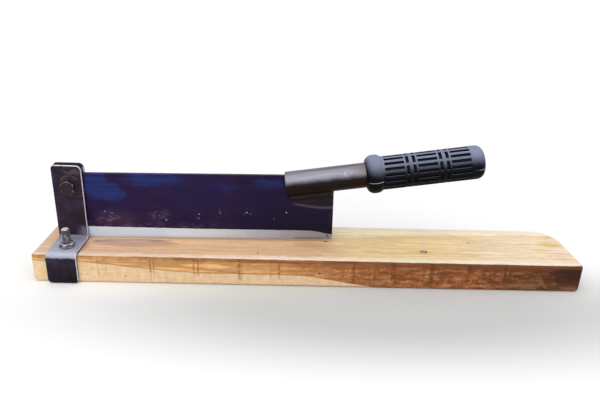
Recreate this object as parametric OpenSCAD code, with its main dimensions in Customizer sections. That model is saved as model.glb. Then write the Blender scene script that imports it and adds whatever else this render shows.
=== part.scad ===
// Lever fruit cutter: a blade with a tube handle, hinged between two strap brackets on a plank.
// Sizes are in millimetres. The origin is the middle of the board's underside. +X runs along the
// board towards the handle, the front faces -Y, and +Z is up. The blade stands slightly open.

/* [Board] */
// Length of the board
board_l = 550; // [450:1:800]
// Width of the board
board_w = 84; // [76:1:140]
// Thickness of the board
board_t = 29.5; // [24:0.5:50]
// Radius of the eased edges, which the straps bend over
board_ease_r = 3; // [1:0.5:6]
// Radius of the ends' lower edges
board_foot_r = 7; // [1:0.5:12]
// Radius of the small corners in plan
board_corner_r = 4; // [1:0.5:12]
// Radius of the far corner that is sawn round
board_round_r = 26; // [13:1:36]

/* [Brackets] */
// Width of the flat bar
strap_w = 30; // [26:1:50]
// Thickness of the flat bar
strap_t = 3; // [2:0.5:5]
// Distance from the board's end to the straps
strap_inset = 15.5; // [6:0.5:60]
// Height of the cheeks above the pivot
cheek_rise = 21.5; // [14:0.5:40]
// Radius of the cheeks' top corners
cheek_corner_r = 5.5; // [1:0.5:12]
// Radius of the skirts' lower corners
skirt_corner_r = 4; // [1:0.5:10]
// Inner radius of the bend from cheek to foot
cheek_bend_r = 3; // [1:0.5:6]
// Height of the skirts' lower edge above the board's underside
skirt_lift = 0.5; // [0:0.5:8]
// Offset of the drilled holes from the middle of the strap, towards the handle
hole_offset = 1.5; // [-2:0.5:2]
// Distance of the clamp bolts from the board's sides
clamp_inset = 13.5; // [10:0.5:18]

/* [Blade] */
// Length of the blade
blade_l = 278; // [200:1:360]
// Height of the blade
blade_h = 71; // [50:0.5:110]
// Thickness of the blade
blade_t = 4; // [2:0.5:6]
// Height of the ground bevel
bevel_h = 10.5; // [5:0.5:20]
// Thickness left at the cutting edge
edge_t = 0.4; // [0.2:0.1:1]
// Distance of the pivot hole from the blade's end
pivot_from_end = 12.5; // [9:0.5:15]
// Distance of the pivot hole from the blade's top
pivot_from_top = 12.5; // [9:0.5:30]
// Radius of the blade's corners
blade_corner_r = 2; // [0.5:0.5:6]
// Angle at which the blade stands open at rest, in degrees
lever_open = 0.8; // [0:0.1:3]

/* [Handle] */
// Outer diameter of the tube
tube_d = 25.4; // [20:0.1:32]
// Wall of the tube
tube_wall = 2; // [1:0.1:4]
// Length of tube that sits over the blade
tube_overlap = 49; // [30:1:70]
// Bare tube between the blade and the grip
tube_bare = 31.5; // [10:0.5:80]
// Rise of the handle from the line of the edge, in degrees
handle_tilt = 7.8; // [0:0.1:12]
// Distance of the handle's line below the blade's upper tip corner
handle_drop = 3.2; // [0:0.1:5]
// Radius of the weld beads
weld_r = 4; // [2:0.5:6]
// Distance that the beads' centre line stands out of the corner between tube and blade
weld_standoff = 1.2; // [0.4:0.1:1.6]

/* [Grip] */
// Length of the grip
grip_l = 118; // [95:1:160]
// Wall of the barrel over the tube
grip_wall = 4.3; // [3:0.1:8]
// Wall at the closed end
grip_end_wall = 8; // [5:0.5:14]
// Length of the collar
collar_l = 18.5; // [16:0.5:30]
// Height of the collar above the barrel
collar_rise = 2.5; // [0.5:0.1:6]
// Radius of the collar's shoulders
collar_round_r = 8; // [3:0.5:10]
// Smooth length before the closed end
dome_l = 15; // [11:0.5:24]
// Radius of the closed end's edge
dome_round_r = 7.5; // [3:0.5:11]
// Length of a ring band
band_l = 13.4; // [10:0.1:18]
// Width of a ring groove
ring_w = 3; // [1:0.1:4]
// Distance between the two ring grooves of a band
ring_pitch = 6.5; // [4.5:0.1:8]
// Number of long grooves round the barrel
groove_count = 18; // [8:2:24]
// Width of a long groove
groove_w = 2; // [0.8:0.1:3]
// Depth of all the grooves
groove_depth = 1.5; // [0.5:0.1:2.4]
// Width of the bars that break a ring groove
bar_w = 4.2; // [1:0.1:5]

/* [Hardware] */
// Diameter of the bolts
bolt_d = 8; // [6:1:10]
// Width across the flats of heads and nuts
hex_af = 13; // [10:1:16]
// Distance that the turned chamfer of heads and nuts reaches inside the flats
hex_turn = 0.3; // [0.1:0.1:0.6]
// Height of a bolt head
head_h = 5.3; // [4:0.1:7]
// Height of a nut
nut_h = 5; // [4:0.1:9]
// Outer diameter of a washer
washer_d = 18; // [16:0.5:24]
// Thickness of a washer
washer_t = 1.5; // [1:0.1:2.5]
// Length of thread above the clamp nuts
clamp_thread_out = 14.8; // [2:0.1:25]
// Length of thread beyond the pivot nut
pivot_thread_out = 5; // [1:0.5:15]
// Depth of the clamp bolt heads below the board's underside
head_recess = 1.5; // [0.5:0.5:6]
// Chamfer at the end of a bolt
bolt_chamfer = 1; // [0.3:0.1:1.5]

/* [Fits] */
// Radial clearance of the blade on the pivot bolt
pivot_clear = 0.05; // [0.02:0.01:0.1]
// Gap between the blade and each cheek
blade_clear = 0.3; // [0.2:0.1:1]
// Gap between the closed edge and the board
edge_clear = 0.5; // [0.3:0.1:2]
// Radial clearance of the bolts in the straps, washers and board
hole_clear = 0.3; // [0.1:0.1:1]
// Radial clearance of the nuts on their bolts
thread_clear = 0.05; // [0.02:0.01:0.1]
// Clearance of the tube's slot round the blade
slot_clear = 0.1; // [0.05:0.05:0.5]
// Radial clearance of the grip on the tube
grip_clear = 0.05; // [0.02:0.01:0.1]
// Gap between the skirts and the board's sides
skirt_clear = 0.2; // [0.1:0.1:1]
// Radial room round the washers in the counterbores
counterbore_clear = 1; // [0.5:0.5:3]

/* [Hidden] */
$fn = 64;

// How far a cutting solid runs past what it cuts
over = 1;

// Places along the board
board_x0 = -board_l / 2;
strap_x0 = board_x0 + strap_inset;
hole_x = strap_x0 + strap_w / 2 + hole_offset;
blade_x0 = hole_x - pivot_from_end;
blade_x1 = blade_x0 + blade_l;

// Places across the board, measured out from the plane of the blade
cheek_in = blade_t / 2 + blade_clear;
cheek_out = cheek_in + strap_t;
skirt_in = board_w / 2 + skirt_clear;
skirt_out = skirt_in + strap_t;
clamp_y = board_w / 2 - clamp_inset;

// Heights
blade_z0 = board_t + edge_clear;
blade_z1 = blade_z0 + blade_h;
pivot_h = blade_h - pivot_from_top;
pivot_z = blade_z0 + pivot_h;
cheek_z = pivot_z + cheek_rise;
clamp_head_z = head_recess + head_h;
counterbore_depth = clamp_head_z + washer_t;
clamp_nut_z = board_t + strap_t;

// Bolts
bolt_hole_r = bolt_d / 2 + hole_clear;
counterbore_r = washer_d / 2 + counterbore_clear;
clamp_bolt_l = clamp_nut_z + nut_h + clamp_thread_out - clamp_head_z;
pivot_seat = cheek_out + washer_t;
pivot_bolt_l = 2 * pivot_seat + nut_h + pivot_thread_out;

// Grip
tube_r = tube_d / 2;
bore_r = tube_r + grip_clear;
barrel_r = bore_r + grip_wall;
collar_r = barrel_r + collar_rise;
bore_l = grip_l - grip_end_wall;
panel_l = (grip_l - collar_l - dome_l - 2 * band_l) / 3;
tube_l = tube_overlap + tube_bare + bore_l;

// Cuts the corner of an outline to an arc about the origin, towards +X and +Y
module corner_cut(r) {
    difference() {
        square(r + over);
        circle(r);
    }
}

// Rectangle from the origin with four corner radii, counted anticlockwise from the far upper one
module rounded_plate(l, w, radii) {
    centres = [
        [l - radii[0], w - radii[0]],
        [radii[1], w - radii[1]],
        [radii[2], radii[2]],
        [l - radii[3], radii[3]]
    ];
    difference() {
        square([l, w]);
        for (i = [0:3]) {
            translate(centres[i]) rotate(90 * i) corner_cut(radii[i]);
        }
    }
}

// Stands an outline drawn in X and Z on the plane of the blade and makes it w thick
module upright(w) {
    rotate([90, 0, 0]) linear_extrude(w, center = true) children();
}

// Runs a section drawn in Y and Z along X for a length
module run_along(l) {
    rotate([90, 0, 90]) linear_extrude(l) children();
}

// Turns the lever's pieces, which are drawn closed, open about the pivot
module opened() {
    translate([hole_x, 0, pivot_z]) rotate([0, -lever_open, 0]) translate([-hole_x, 0, -pivot_z]) children();
}

// Places children on the handle's line, which starts below the blade's upper tip corner
module along_handle(s) {
    translate([blade_x1, 0, blade_z1 - handle_drop]) rotate([0, -handle_tilt, 0]) translate([s, 0, 0])
        children();
}

// Turns a solid that stands on Z to lie along X
module lay_along() {
    rotate([0, 90, 0]) children();
}

// Hexagon prism with a corner towards Y. Its upper corners are turned off, and the lower ones too
// where both is true
module hex_body(h, both) {
    corner_r = hex_af / 2 / cos(30);
    flat_r = hex_af / 2 - hex_turn;
    drop = (corner_r - flat_r) * tan(30);
    foot_r = both ? flat_r : corner_r;
    foot = both ? drop : 0;
    intersection() {
        linear_extrude(h) rotate(30) circle(corner_r, $fn = 6);
        rotate_extrude() polygon([
            [0, 0], [foot_r, 0], [corner_r, foot], [corner_r, h - drop], [flat_r, h], [0, h]
        ]);
    }
}

// Hex bolt that stands on Z with its head below the origin
module bolt(l) {
    mirror([0, 0, 1]) hex_body(head_h, false);
    cylinder(d = bolt_d, h = l - bolt_chamfer);
    translate([0, 0, l - bolt_chamfer])
        cylinder(d1 = bolt_d, d2 = bolt_d - 2 * bolt_chamfer, h = bolt_chamfer);
}

module nut() {
    difference() {
        hex_body(nut_h, true);
        translate([0, 0, -over]) cylinder(r = bolt_d / 2 + thread_clear, h = nut_h + 2 * over);
    }
}

module washer() {
    difference() {
        cylinder(d = washer_d, h = washer_t);
        translate([0, 0, -over]) cylinder(r = bolt_hole_r, h = washer_t + 2 * over);
    }
}

// Places children on the pivot's line, at a distance behind the plane of the blade
module on_pivot(y) {
    translate([hole_x, y, pivot_z]) rotate([-90, 0, 0]) children();
}

// Places children on a clamp bolt's line, at a height. A side of -1 is the front
module on_clamp(side, z) {
    translate([hole_x, side * clamp_y, z]) children();
}

// Plank with eased edges, bored and counterbored from below for the clamp bolts
module board() {
    ease = [board_ease_r, board_ease_r, board_ease_r, board_ease_r];
    ends = [board_ease_r, board_ease_r, board_foot_r, board_foot_r];
    plan = [board_round_r, board_corner_r, board_corner_r, board_corner_r];
    color("burlywood") difference() {
        intersection() {
            translate([board_x0, -board_w / 2, 0]) linear_extrude(board_t)
                rounded_plate(board_l, board_w, plan);
            translate([board_x0, 0, 0]) run_along(board_l)
                translate([-board_w / 2, 0]) rounded_plate(board_w, board_t, ease);
            translate([board_x0, 0, 0]) upright(board_w) rounded_plate(board_l, board_t, ends);
        }
        for (side = [-1, 1]) {
            on_clamp(side, -over) cylinder(r = bolt_hole_r, h = board_t + 2 * over);
            on_clamp(side, -over) cylinder(r = counterbore_r, h = counterbore_depth + over);
        }
    }
}

// Quarter ring of the flat bar's thickness, towards +X and +Y
module bend(r) {
    intersection() {
        difference() {
            circle(r + strap_t);
            circle(r);
        }
        square(r + strap_t + over);
    }
}

// Section of the rear strap in Y and Z: cheek, bend, foot, bend and skirt
module strap_section() {
    foot_y0 = cheek_out + cheek_bend_r;
    foot_y1 = skirt_in - board_ease_r;
    cheek_z0 = board_t + strap_t + cheek_bend_r;
    skirt_z1 = board_t - board_ease_r;
    translate([cheek_in, cheek_z0]) square([strap_t, cheek_z - cheek_z0]);
    translate([foot_y0, cheek_z0]) rotate(180) bend(cheek_bend_r);
    translate([foot_y0, board_t]) square([foot_y1 - foot_y0, strap_t]);
    translate([foot_y1, skirt_z1]) bend(board_ease_r);
    translate([skirt_in, skirt_lift]) square([strap_t, skirt_z1 - skirt_lift]);
}

// Bent strap behind the blade, drilled for the pivot and the clamp bolt
module bracket() {
    corners = [cheek_corner_r, cheek_corner_r, skirt_corner_r, skirt_corner_r];
    difference() {
        intersection() {
            translate([strap_x0, 0, 0]) run_along(strap_w) strap_section();
            translate([strap_x0, 0, skirt_lift])
                upright(2 * skirt_out) rounded_plate(strap_w, cheek_z - skirt_lift, corners);
        }
        on_pivot(cheek_in - over) cylinder(r = bolt_hole_r, h = strap_t + 2 * over);
        on_clamp(1, board_t - over) cylinder(r = bolt_hole_r, h = strap_t + 2 * over);
    }
}

module front_bracket() {
    color("#2b262c") mirror([0, 1, 0]) bracket();
}

module rear_bracket() {
    color("#2b262c") bracket();
}

module clamp_bolt(side) {
    color("#8d8b8a") on_clamp(side, clamp_head_z) bolt(clamp_bolt_l);
}

module front_clamp_bolt() {
    clamp_bolt(-1);
}

module rear_clamp_bolt() {
    clamp_bolt(1);
}

module clamp_washer(side) {
    color("#9a9896") on_clamp(side, clamp_head_z) washer();
}

module front_clamp_washer() {
    clamp_washer(-1);
}

module rear_clamp_washer() {
    clamp_washer(1);
}

module clamp_nut(side) {
    color("#8d8b8a") on_clamp(side, clamp_nut_z) nut();
}

module front_clamp_nut() {
    clamp_nut(-1);
}

module rear_clamp_nut() {
    clamp_nut(1);
}

module pivot_bolt() {
    color("#3a353a") on_pivot(-pivot_seat) bolt(pivot_bolt_l);
}

module pivot_head_washer() {
    color("#3a353a") on_pivot(-pivot_seat) washer();
}

module pivot_nut_washer() {
    color("#3a353a") on_pivot(cheek_out) washer();
}

module pivot_nut() {
    color("#3a353a") on_pivot(pivot_seat) nut();
}

// Side view of the blade. Its heel is ground to an arc about the pivot, to pass over the board
module blade_outline() {
    corners = [blade_corner_r, blade_corner_r, 0, blade_corner_r];
    difference() {
        rounded_plate(blade_l, blade_h, corners);
        difference() {
            translate([-over, -over]) square([pivot_from_end + over, pivot_h + over]);
            translate([pivot_from_end, pivot_h]) circle(pivot_h);
        }
    }
}

// Cross-section of the blade, ground from both sides to the edge
module blade_section() {
    polygon([
        [-edge_t / 2, 0], [edge_t / 2, 0], [blade_t / 2, bevel_h],
        [blade_t / 2, blade_h], [-blade_t / 2, blade_h], [-blade_t / 2, bevel_h]
    ]);
}

module blade() {
    color("#241f3d") opened() difference() {
        translate([blade_x0, 0, blade_z0]) intersection() {
            upright(blade_t) blade_outline();
            run_along(blade_l) blade_section();
        }
        on_pivot(-blade_t / 2 - over) cylinder(r = bolt_d / 2 + pivot_clear, h = blade_t + 2 * over);
    }
}

// Block of the blade's outer size with the slot's clearance on its faces, its top and its tip
module slot_block() {
    translate([blade_x0, -blade_t / 2 - slot_clear, blade_z0])
        cube([blade_l + slot_clear, blade_t + 2 * slot_clear, blade_h + slot_clear]);
}

// Tube slotted from below over the blade's upper tip corner
module handle_tube() {
    color("#5b524e") opened() difference() {
        along_handle(-tube_overlap) lay_along() difference() {
            cylinder(r = tube_r, h = tube_l);
            translate([0, 0, -over]) cylinder(r = tube_r - tube_wall, h = tube_l + 2 * over);
        }
        slot_block();
    }
}

// Fillet weld in the corner between the tube's underside and one face of the blade
module weld_bead(side) {
    bead_y = side * (blade_t / 2 + weld_standoff);
    bead_z = -tube_r - weld_standoff;
    tip_gap = weld_r + (tube_r + weld_standoff + weld_r) * tan(handle_tilt);
    run = tube_overlap - weld_r - tip_gap;
    far_y = side > 0 ? blade_t / 2 - tube_d : -blade_t / 2;
    color("#3f3633") opened() difference() {
        along_handle(-tube_overlap + weld_r) translate([0, bead_y, bead_z]) lay_along() {
            cylinder(r = weld_r, h = run);
            sphere(weld_r);
            translate([0, 0, run]) sphere(weld_r);
        }
        along_handle(-tube_overlap - over) lay_along() cylinder(r = tube_r, h = tube_overlap + 2 * over);
        translate([blade_x0, far_y, blade_z0]) cube([blade_l, tube_d, blade_h]);
    }
}

module front_weld_bead() {
    weld_bead(-1);
}

module rear_weld_bead() {
    weld_bead(1);
}

// Half section of a round bar from the origin, with a radius at its near and its far edge
module bar_section(r, l, near_r, far_r) {
    rounded_plate(r, l, [far_r, 0, 0, near_r]);
}

// Half section of the grip: collar, barrel and closed end, without its bore
module grip_section() {
    bar_section(collar_r, collar_l, collar_round_r, collar_round_r);
    translate([0, collar_l / 2]) bar_section(barrel_r, grip_l - collar_l / 2, 0, dome_round_r);
}

// Long grooves of one panel, whose near end lies at s along the grip
module panel_grooves(s) {
    step = 360 / groove_count;
    for (i = [0:groove_count - 1]) {
        rotate(step * i) translate([barrel_r - groove_depth, -groove_w / 2, s])
            cube([groove_depth + over, groove_w, panel_l]);
    }
}

// One ring groove, broken by a bar on every second rib
module ring_groove(s) {
    bars = groove_count / 2;
    step = 360 / bars;
    difference() {
        translate([0, 0, s - ring_w / 2]) rotate_extrude()
            translate([barrel_r - groove_depth, 0]) square([groove_depth + over, ring_w]);
        for (i = [0:bars - 1]) {
            rotate(step * i - 90) translate([0, -bar_w / 2, s - ring_w])
                cube([collar_r + over, bar_w, 2 * ring_w]);
        }
    }
}

// Moulded grip with ribbed panels between ring bands, closed at its outer end
module grip() {
    color("#22252a") opened() along_handle(tube_bare) lay_along() difference() {
        rotate_extrude() grip_section();
        translate([0, 0, -over]) cylinder(r = bore_r, h = bore_l + over);
        for (i = [0:2]) {
            panel_grooves(collar_l + i * (panel_l + band_l));
        }
        for (i = [0:1]) {
            band_middle = collar_l + panel_l + band_l / 2 + i * (panel_l + band_l);
            ring_groove(band_middle - ring_pitch / 2);
            ring_groove(band_middle + ring_pitch / 2);
        }
    }
}

board();
front_bracket();
rear_bracket();
front_clamp_bolt();
rear_clamp_bolt();
front_clamp_washer();
rear_clamp_washer();
front_clamp_nut();
rear_clamp_nut();
pivot_bolt();
pivot_head_washer();
pivot_nut_washer();
pivot_nut();
blade();
handle_tube();
front_weld_bead();
rear_weld_bead();
grip();
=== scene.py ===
"""Dresses the lever fruit cutter: board, strap brackets, fasteners, blade, handle tube and grip.

Every length is in metres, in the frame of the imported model: +X along the board towards the handle,
-Y to the front and +Z up.
"""
import logging
import math
from collections.abc import Callable, Iterable, Sequence
from dataclasses import dataclass
from enum import Enum
from functools import partial, reduce

import bmesh
import bpy
from bmesh.types import BMEdge, BMesh, BMFace, BMVert
from bpy.types import ID, Material, Mesh, Node, NodeSocket, Object
from mathutils import Matrix, Vector, noise


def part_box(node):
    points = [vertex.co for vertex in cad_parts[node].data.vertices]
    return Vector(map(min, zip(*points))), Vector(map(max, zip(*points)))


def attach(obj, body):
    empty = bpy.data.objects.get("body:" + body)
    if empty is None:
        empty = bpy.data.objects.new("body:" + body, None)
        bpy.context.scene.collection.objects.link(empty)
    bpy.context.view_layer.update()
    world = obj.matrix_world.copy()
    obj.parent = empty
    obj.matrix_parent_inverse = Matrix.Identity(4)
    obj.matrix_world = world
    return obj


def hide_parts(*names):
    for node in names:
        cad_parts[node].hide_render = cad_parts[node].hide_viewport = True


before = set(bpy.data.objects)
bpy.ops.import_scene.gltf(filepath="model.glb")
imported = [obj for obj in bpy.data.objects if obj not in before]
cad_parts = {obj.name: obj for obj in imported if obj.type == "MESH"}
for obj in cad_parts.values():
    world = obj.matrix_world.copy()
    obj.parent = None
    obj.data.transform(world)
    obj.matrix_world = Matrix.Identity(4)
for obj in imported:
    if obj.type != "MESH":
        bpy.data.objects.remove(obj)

log = logging.getLogger("fruit_cutter")

Colour = tuple[float, float, float]
Place = tuple[float, float, float]
Number = float | NodeSocket
Tint = Colour | NodeSocket
Station = Callable[[float], tuple[float, float]]
Patch = tuple[float, float, float, float, float]
Oval = tuple[Place, Place]

FULL_TURN = 2.0 * math.pi
RIGHT_ANGLE = math.pi / 2.0
ORIGIN: Place = (0.0, 0.0, 0.0)
ALONG = Vector((1.0, 0.0, 0.0))
ACROSS = Vector((0.0, 1.0, 0.0))
UP = Vector((0.0, 0.0, 1.0))
CUT_GAP = 1e-7
SAME_PLACE = 1e-6
SMALL_GAP = 1e-4


class Body(Enum):
    """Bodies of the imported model."""

    BASE = "base"
    LEVER = "lever"


class Slot(Enum):
    """Names of the material slots."""

    WOOD = "board_wood"
    STRAP = "bracket_steel"
    BRIGHT = "bright_fastener"
    DARK = "dark_fastener"
    BLADE = "blued_steel"
    TUBE = "tube_steel"
    WELD = "weld_metal"
    GRIP = "grip_rubber"


class Side(Enum):
    """Side of the blade: the front is towards -Y."""

    FRONT = -1
    REAR = 1


class Lie(Enum):
    """Axis along which a bolt's shank points away from its head."""

    UP = 2
    BACK = 1


class Layer(Enum):
    """Layers of the noise that wears the meshes, so that no two of them agree."""

    WANDER = 2.0
    HOLLOW = 3.0
    JAG = 5.0
    COARSE_JAG = 8.0
    DENT = 9.0


# Node graphs


class Graph:
    """Node tree of one finish, with short calls for the nodes that the finishes share."""

    def __init__(self, name: str, frame_of: Matrix | None = None) -> None:
        """Starts a material with a Principled shader wired to its output.

        Args:
            name: The material's name.
            frame_of: Frame in which places are told, the object's own by default.
        """
        self.material: Material = bpy.data.materials.new(name)
        self.material.use_nodes = True
        self.tree = self.material.node_tree
        self.tree.nodes.clear()
        self.shader = self.add("BsdfPrincipled")
        self.add("OutputMaterial", {"Surface": self.shader.outputs["BSDF"]})
        coords = self.add("TexCoord")
        self.place: NodeSocket = coords.outputs["Object"]
        if frame_of is not None:
            self.place = self.placed(frame_of)
        self.x, self.y, self.z = self.split(self.place)
        self.out_x, _, self.out_z = self.split(coords.outputs["Normal"])

    def add(self, kind: str, inputs: dict[str | int, Number | Tint] | None = None, **options: str) -> Node:
        """Adds a shader node.

        Args:
            kind: Its type, without the prefix that all of them have.
            inputs: What feeds its sockets, by their names or numbers.
            options: Its settings.

        Returns:
            The node.
        """
        node = self.tree.nodes.new("ShaderNode" + kind)
        for name, option in options.items():
            setattr(node, name, option)
        for name, value in (inputs or {}).items():
            self.feed(node.inputs[name], value)
        return node

    def feed(self, socket: NodeSocket, value: Number | Tint) -> None:
        """Sets a socket to a value, or links another socket to it.

        Args:
            socket: Socket to feed.
            value: Number, colour or socket.
        """
        if isinstance(value, NodeSocket):
            self.tree.links.new(value, socket)
        elif isinstance(value, tuple) and socket.type == "RGBA":
            socket.default_value = (*value, 1.0)
        else:
            socket.default_value = value

    def split(self, vector: NodeSocket) -> tuple[NodeSocket, NodeSocket, NodeSocket]:
        """Splits a vector into its three parts."""
        return tuple(self.add("SeparateXYZ", {0: vector}).outputs)

    def join(self, x: Number, y: Number, z: Number) -> NodeSocket:
        """Joins three numbers into a vector."""
        return self.add("CombineXYZ", {0: x, 1: y, 2: z}).outputs[0]

    def calc(self, operation: str, a: Number, b: Number = 0.0, c: Number = 0.0) -> NodeSocket:
        """One sum of the Math node, on as many of the numbers as the operation has."""
        return self.add("Math", {0: a, 1: b, 2: c}, operation=operation).outputs[0]

    def times(self, *factors: Number) -> NodeSocket:
        """Product of several numbers."""
        return reduce(partial(self.calc, "MULTIPLY"), factors)

    def largest(self, masks: Iterable[NodeSocket]) -> NodeSocket:
        """The largest of several masks."""
        return reduce(partial(self.calc, "MAXIMUM"), masks)

    def less(self, a: Number, b: Number) -> NodeSocket:
        """A number less another."""
        return self.calc("SUBTRACT", a, b)

    def shift(self, base: Number, by: Number, reach: float, middle: float = 0.0) -> NodeSocket:
        """Moves a base by a reach times a number's distance from a middle."""
        return self.calc("MULTIPLY_ADD", self.less(by, middle) if middle else by, reach, base)

    def stretch(self, by: Place, offset: Place = ORIGIN, of: NodeSocket | None = None) -> NodeSocket:
        """Scales and shifts a place, the graph's own by default."""
        return self.add("Mapping", {"Vector": of or self.place, "Scale": by, "Location": offset}).outputs[0]

    def cloud(
        self, scale: float, detail: float = 4.0, rough: float = 0.55, by: Place | None = None,
        of: NodeSocket | None = None, offset: Place = ORIGIN,
    ) -> NodeSocket:
        """Soft noise from 0 to 1.

        Args:
            scale: Lumps for each unit of length.
            detail: Octaves of finer noise.
            rough: Share that each finer octave adds.
            by: Stretch of the place along each axis, none by default.
            of: Place to read it at, the graph's own by default.
            offset: Shift of a stretched place.

        Returns:
            The noise's socket.
        """
        at = self.stretch(by, offset, of) if by else of or self.place
        inputs = {"Vector": at, "Scale": scale, "Detail": detail, "Roughness": rough}
        return self.add("TexNoise", inputs).outputs[0]

    def cells(self, scale: float, by: Place | None = None, of: NodeSocket | None = None) -> NodeSocket:
        """Distance to the nearest of many scattered points, on a place that may be stretched."""
        at = self.stretch(by, of=of) if by else of or self.place
        return self.add("TexVoronoi", {"Vector": at, "Scale": scale}).outputs["Distance"]

    def ease(
        self, value: Number, low: float, high: float, to_low: float = 0.0, to_high: float = 1.0
    ) -> NodeSocket:
        """Smooth step of a value. A low above high runs the other way.

        Args:
            value: Number that is read.
            low: Where the step begins.
            high: Where it ends.
            to_low: Result at the beginning.
            to_high: Result at the end.

        Returns:
            The result's socket.
        """
        ends = (low, high, to_low, to_high) if low < high else (high, low, to_high, to_low)
        inputs = dict(zip(("Value", "From Min", "From Max", "To Min", "To Max"), (value, *ends)))
        return self.add("MapRange", inputs, interpolation_type="SMOOTHSTEP").outputs["Result"]

    def band(self, value: NodeSocket, middle: Number, half: float, soft: float) -> NodeSocket:
        """Mask that is 1 where a value lies within half of the middle, with soft sides."""
        return self.ease(self.calc("ABSOLUTE", self.less(value, middle)), half + soft, half)

    def placed(self, frame_of: Matrix) -> NodeSocket:
        """The graph's own place, told in another frame."""
        inputs = {"Vector": self.place, "Location": frame_of.translation, "Rotation": frame_of.to_euler()}
        return self.add("Mapping", inputs, vector_type="TEXTURE").outputs[0]

    def oval(self, middle: Place, radii: Place, of: NodeSocket | None = None) -> NodeSocket:
        """Distance from a place as a share of an oval's radii, so that its border is 1.

        Args:
            middle: Centre of the oval.
            radii: Half sizes of the oval.
            of: Place to read it at, the graph's own by default.

        Returns:
            The distance's socket.
        """
        by = tuple(1.0 / r for r in radii)
        offset = tuple(-m / r for m, r in zip(middle, radii))
        return self.add("VectorMath", {0: self.stretch(by, offset, of)}, operation="LENGTH").outputs["Value"]

    def spot(
        self, middle: Place, radii: Place, core: float = 0.3, of: NodeSocket | None = None
    ) -> NodeSocket:
        """Soft oval mask about a place, which is 1 within a core share of the radii."""
        return self.ease(self.oval(middle, radii, of), 1.0, core)

    def patch(
        self, along: float, height: float, half_along: float, half_height: float, core: float = 0.3,
        of: NodeSocket | None = None,
    ) -> NodeSocket:
        """Soft oval mask on both faces of the lever, by its middle and half sizes."""
        return self.spot((along, 0.0, height), (half_along, 0.1, half_height), core, of)

    def mix(self, share: Number, a: Tint, b: Tint) -> NodeSocket:
        """Mixes two colours. A share of 1 is all b."""
        return self.add("Mix", {0: share, 6: a, 7: b}, data_type="RGBA").outputs[2]

    def lay(self, under: Tint, over: Tint, *shares: Number) -> NodeSocket:
        """Lays a colour over another by the product of some shares."""
        return self.mix(self.times(*shares), under, over)

    def shade(self, colour: Tint, factor: Number) -> NodeSocket:
        """Multiplies a colour by a number."""
        return self.add("VectorMath", {0: colour, "Scale": factor}, operation="SCALE").outputs[0]

    def ramp(self, value: NodeSocket, stops: Sequence[tuple[float, Colour]]) -> NodeSocket:
        """Colours along a value.

        Args:
            value: Number from 0 to 1.
            stops: Places with their colours, in order.

        Returns:
            The colour's socket.
        """
        node = self.add("ValToRGB", {0: value})
        elements = node.color_ramp.elements
        elements[0].position = stops[0][0]
        elements[1].position = stops[-1][0]
        for position, _ in stops[1:-1]:
            elements.new(position)
        for element, (_, colour) in zip(elements, stops):
            element.color = (*colour, 1.0)
        return node.outputs[0]

    def dress(
        self, colour: Tint, rough: Number, metal: Number, specular: float,
        *bumps: tuple[NodeSocket, float],
    ) -> Material:
        """Feeds the shader.

        Args:
            colour: Base colour.
            rough: Roughness.
            metal: Share of metal.
            specular: Specular level.
            bumps: Heights with their depths in metres, the coarsest first.

        Returns:
            The finished material.
        """
        values = {"Base Color": colour, "Roughness": rough, "Metallic": metal}
        values["Specular IOR Level"] = specular
        for height, depth in bumps:
            inputs = {"Strength": 1.0, "Distance": depth, "Height": height}
            if "Normal" in values:
                inputs["Normal"] = values["Normal"]
            values["Normal"] = self.add("Bump", inputs).outputs["Normal"]
        for name, value in values.items():
            self.feed(self.shader.inputs[name], value)
        return self.material


class Timber(Graph):
    """Node tree of wood, with the wandering place and the long streaks that its parts share."""

    def __init__(self, name: str) -> None:
        """Adds the wander and the streaks to a new tree.

        Args:
            name: The material's name.
        """
        super().__init__(name)
        sway = self.cloud(5.0, 2.0, 0.5, (1.0, 2.0, 2.0))
        self.drift = self.join(self.x, self.shift(self.y, sway, 0.018), self.shift(self.z, sway, 0.010))
        self.streak = self.cloud(1.0, 5.0, 0.62, (7.0, 230.0, 230.0), self.drift)


# Finishes


@dataclass(frozen=True)
class Stain:
    """Soft oval of another colour on a face: its middle, half sizes, colour, strength and full core."""

    along: float
    across: float
    half_along: float
    half_across: float
    colour: Colour
    share: float
    core: float = 0.2

    def lay(self, g: Graph, face: NodeSocket, tone: NodeSocket) -> NodeSocket:
        """Lays the stain over a tone, on a face whose place is told as along, across and zero."""
        middle, radii = (self.along, self.across, 0.0), (self.half_along, self.half_across, 1.0)
        return g.lay(tone, self.colour, g.spot(middle, radii, self.core, face), self.share)


HONEY: Colour = (0.780, 0.490, 0.285)
ROSE: Colour = (0.780, 0.520, 0.345)
GOLD: Colour = (0.740, 0.500, 0.170)
MAUVE: Colour = (0.330, 0.180, 0.145)
TAN: Colour = (0.560, 0.330, 0.160)
PEACH: Colour = (0.800, 0.500, 0.270)
RUST: Colour = (0.370, 0.110, 0.032)
UMBER: Colour = (0.150, 0.052, 0.022)
CHAR: Colour = (0.040, 0.012, 0.010)


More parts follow.
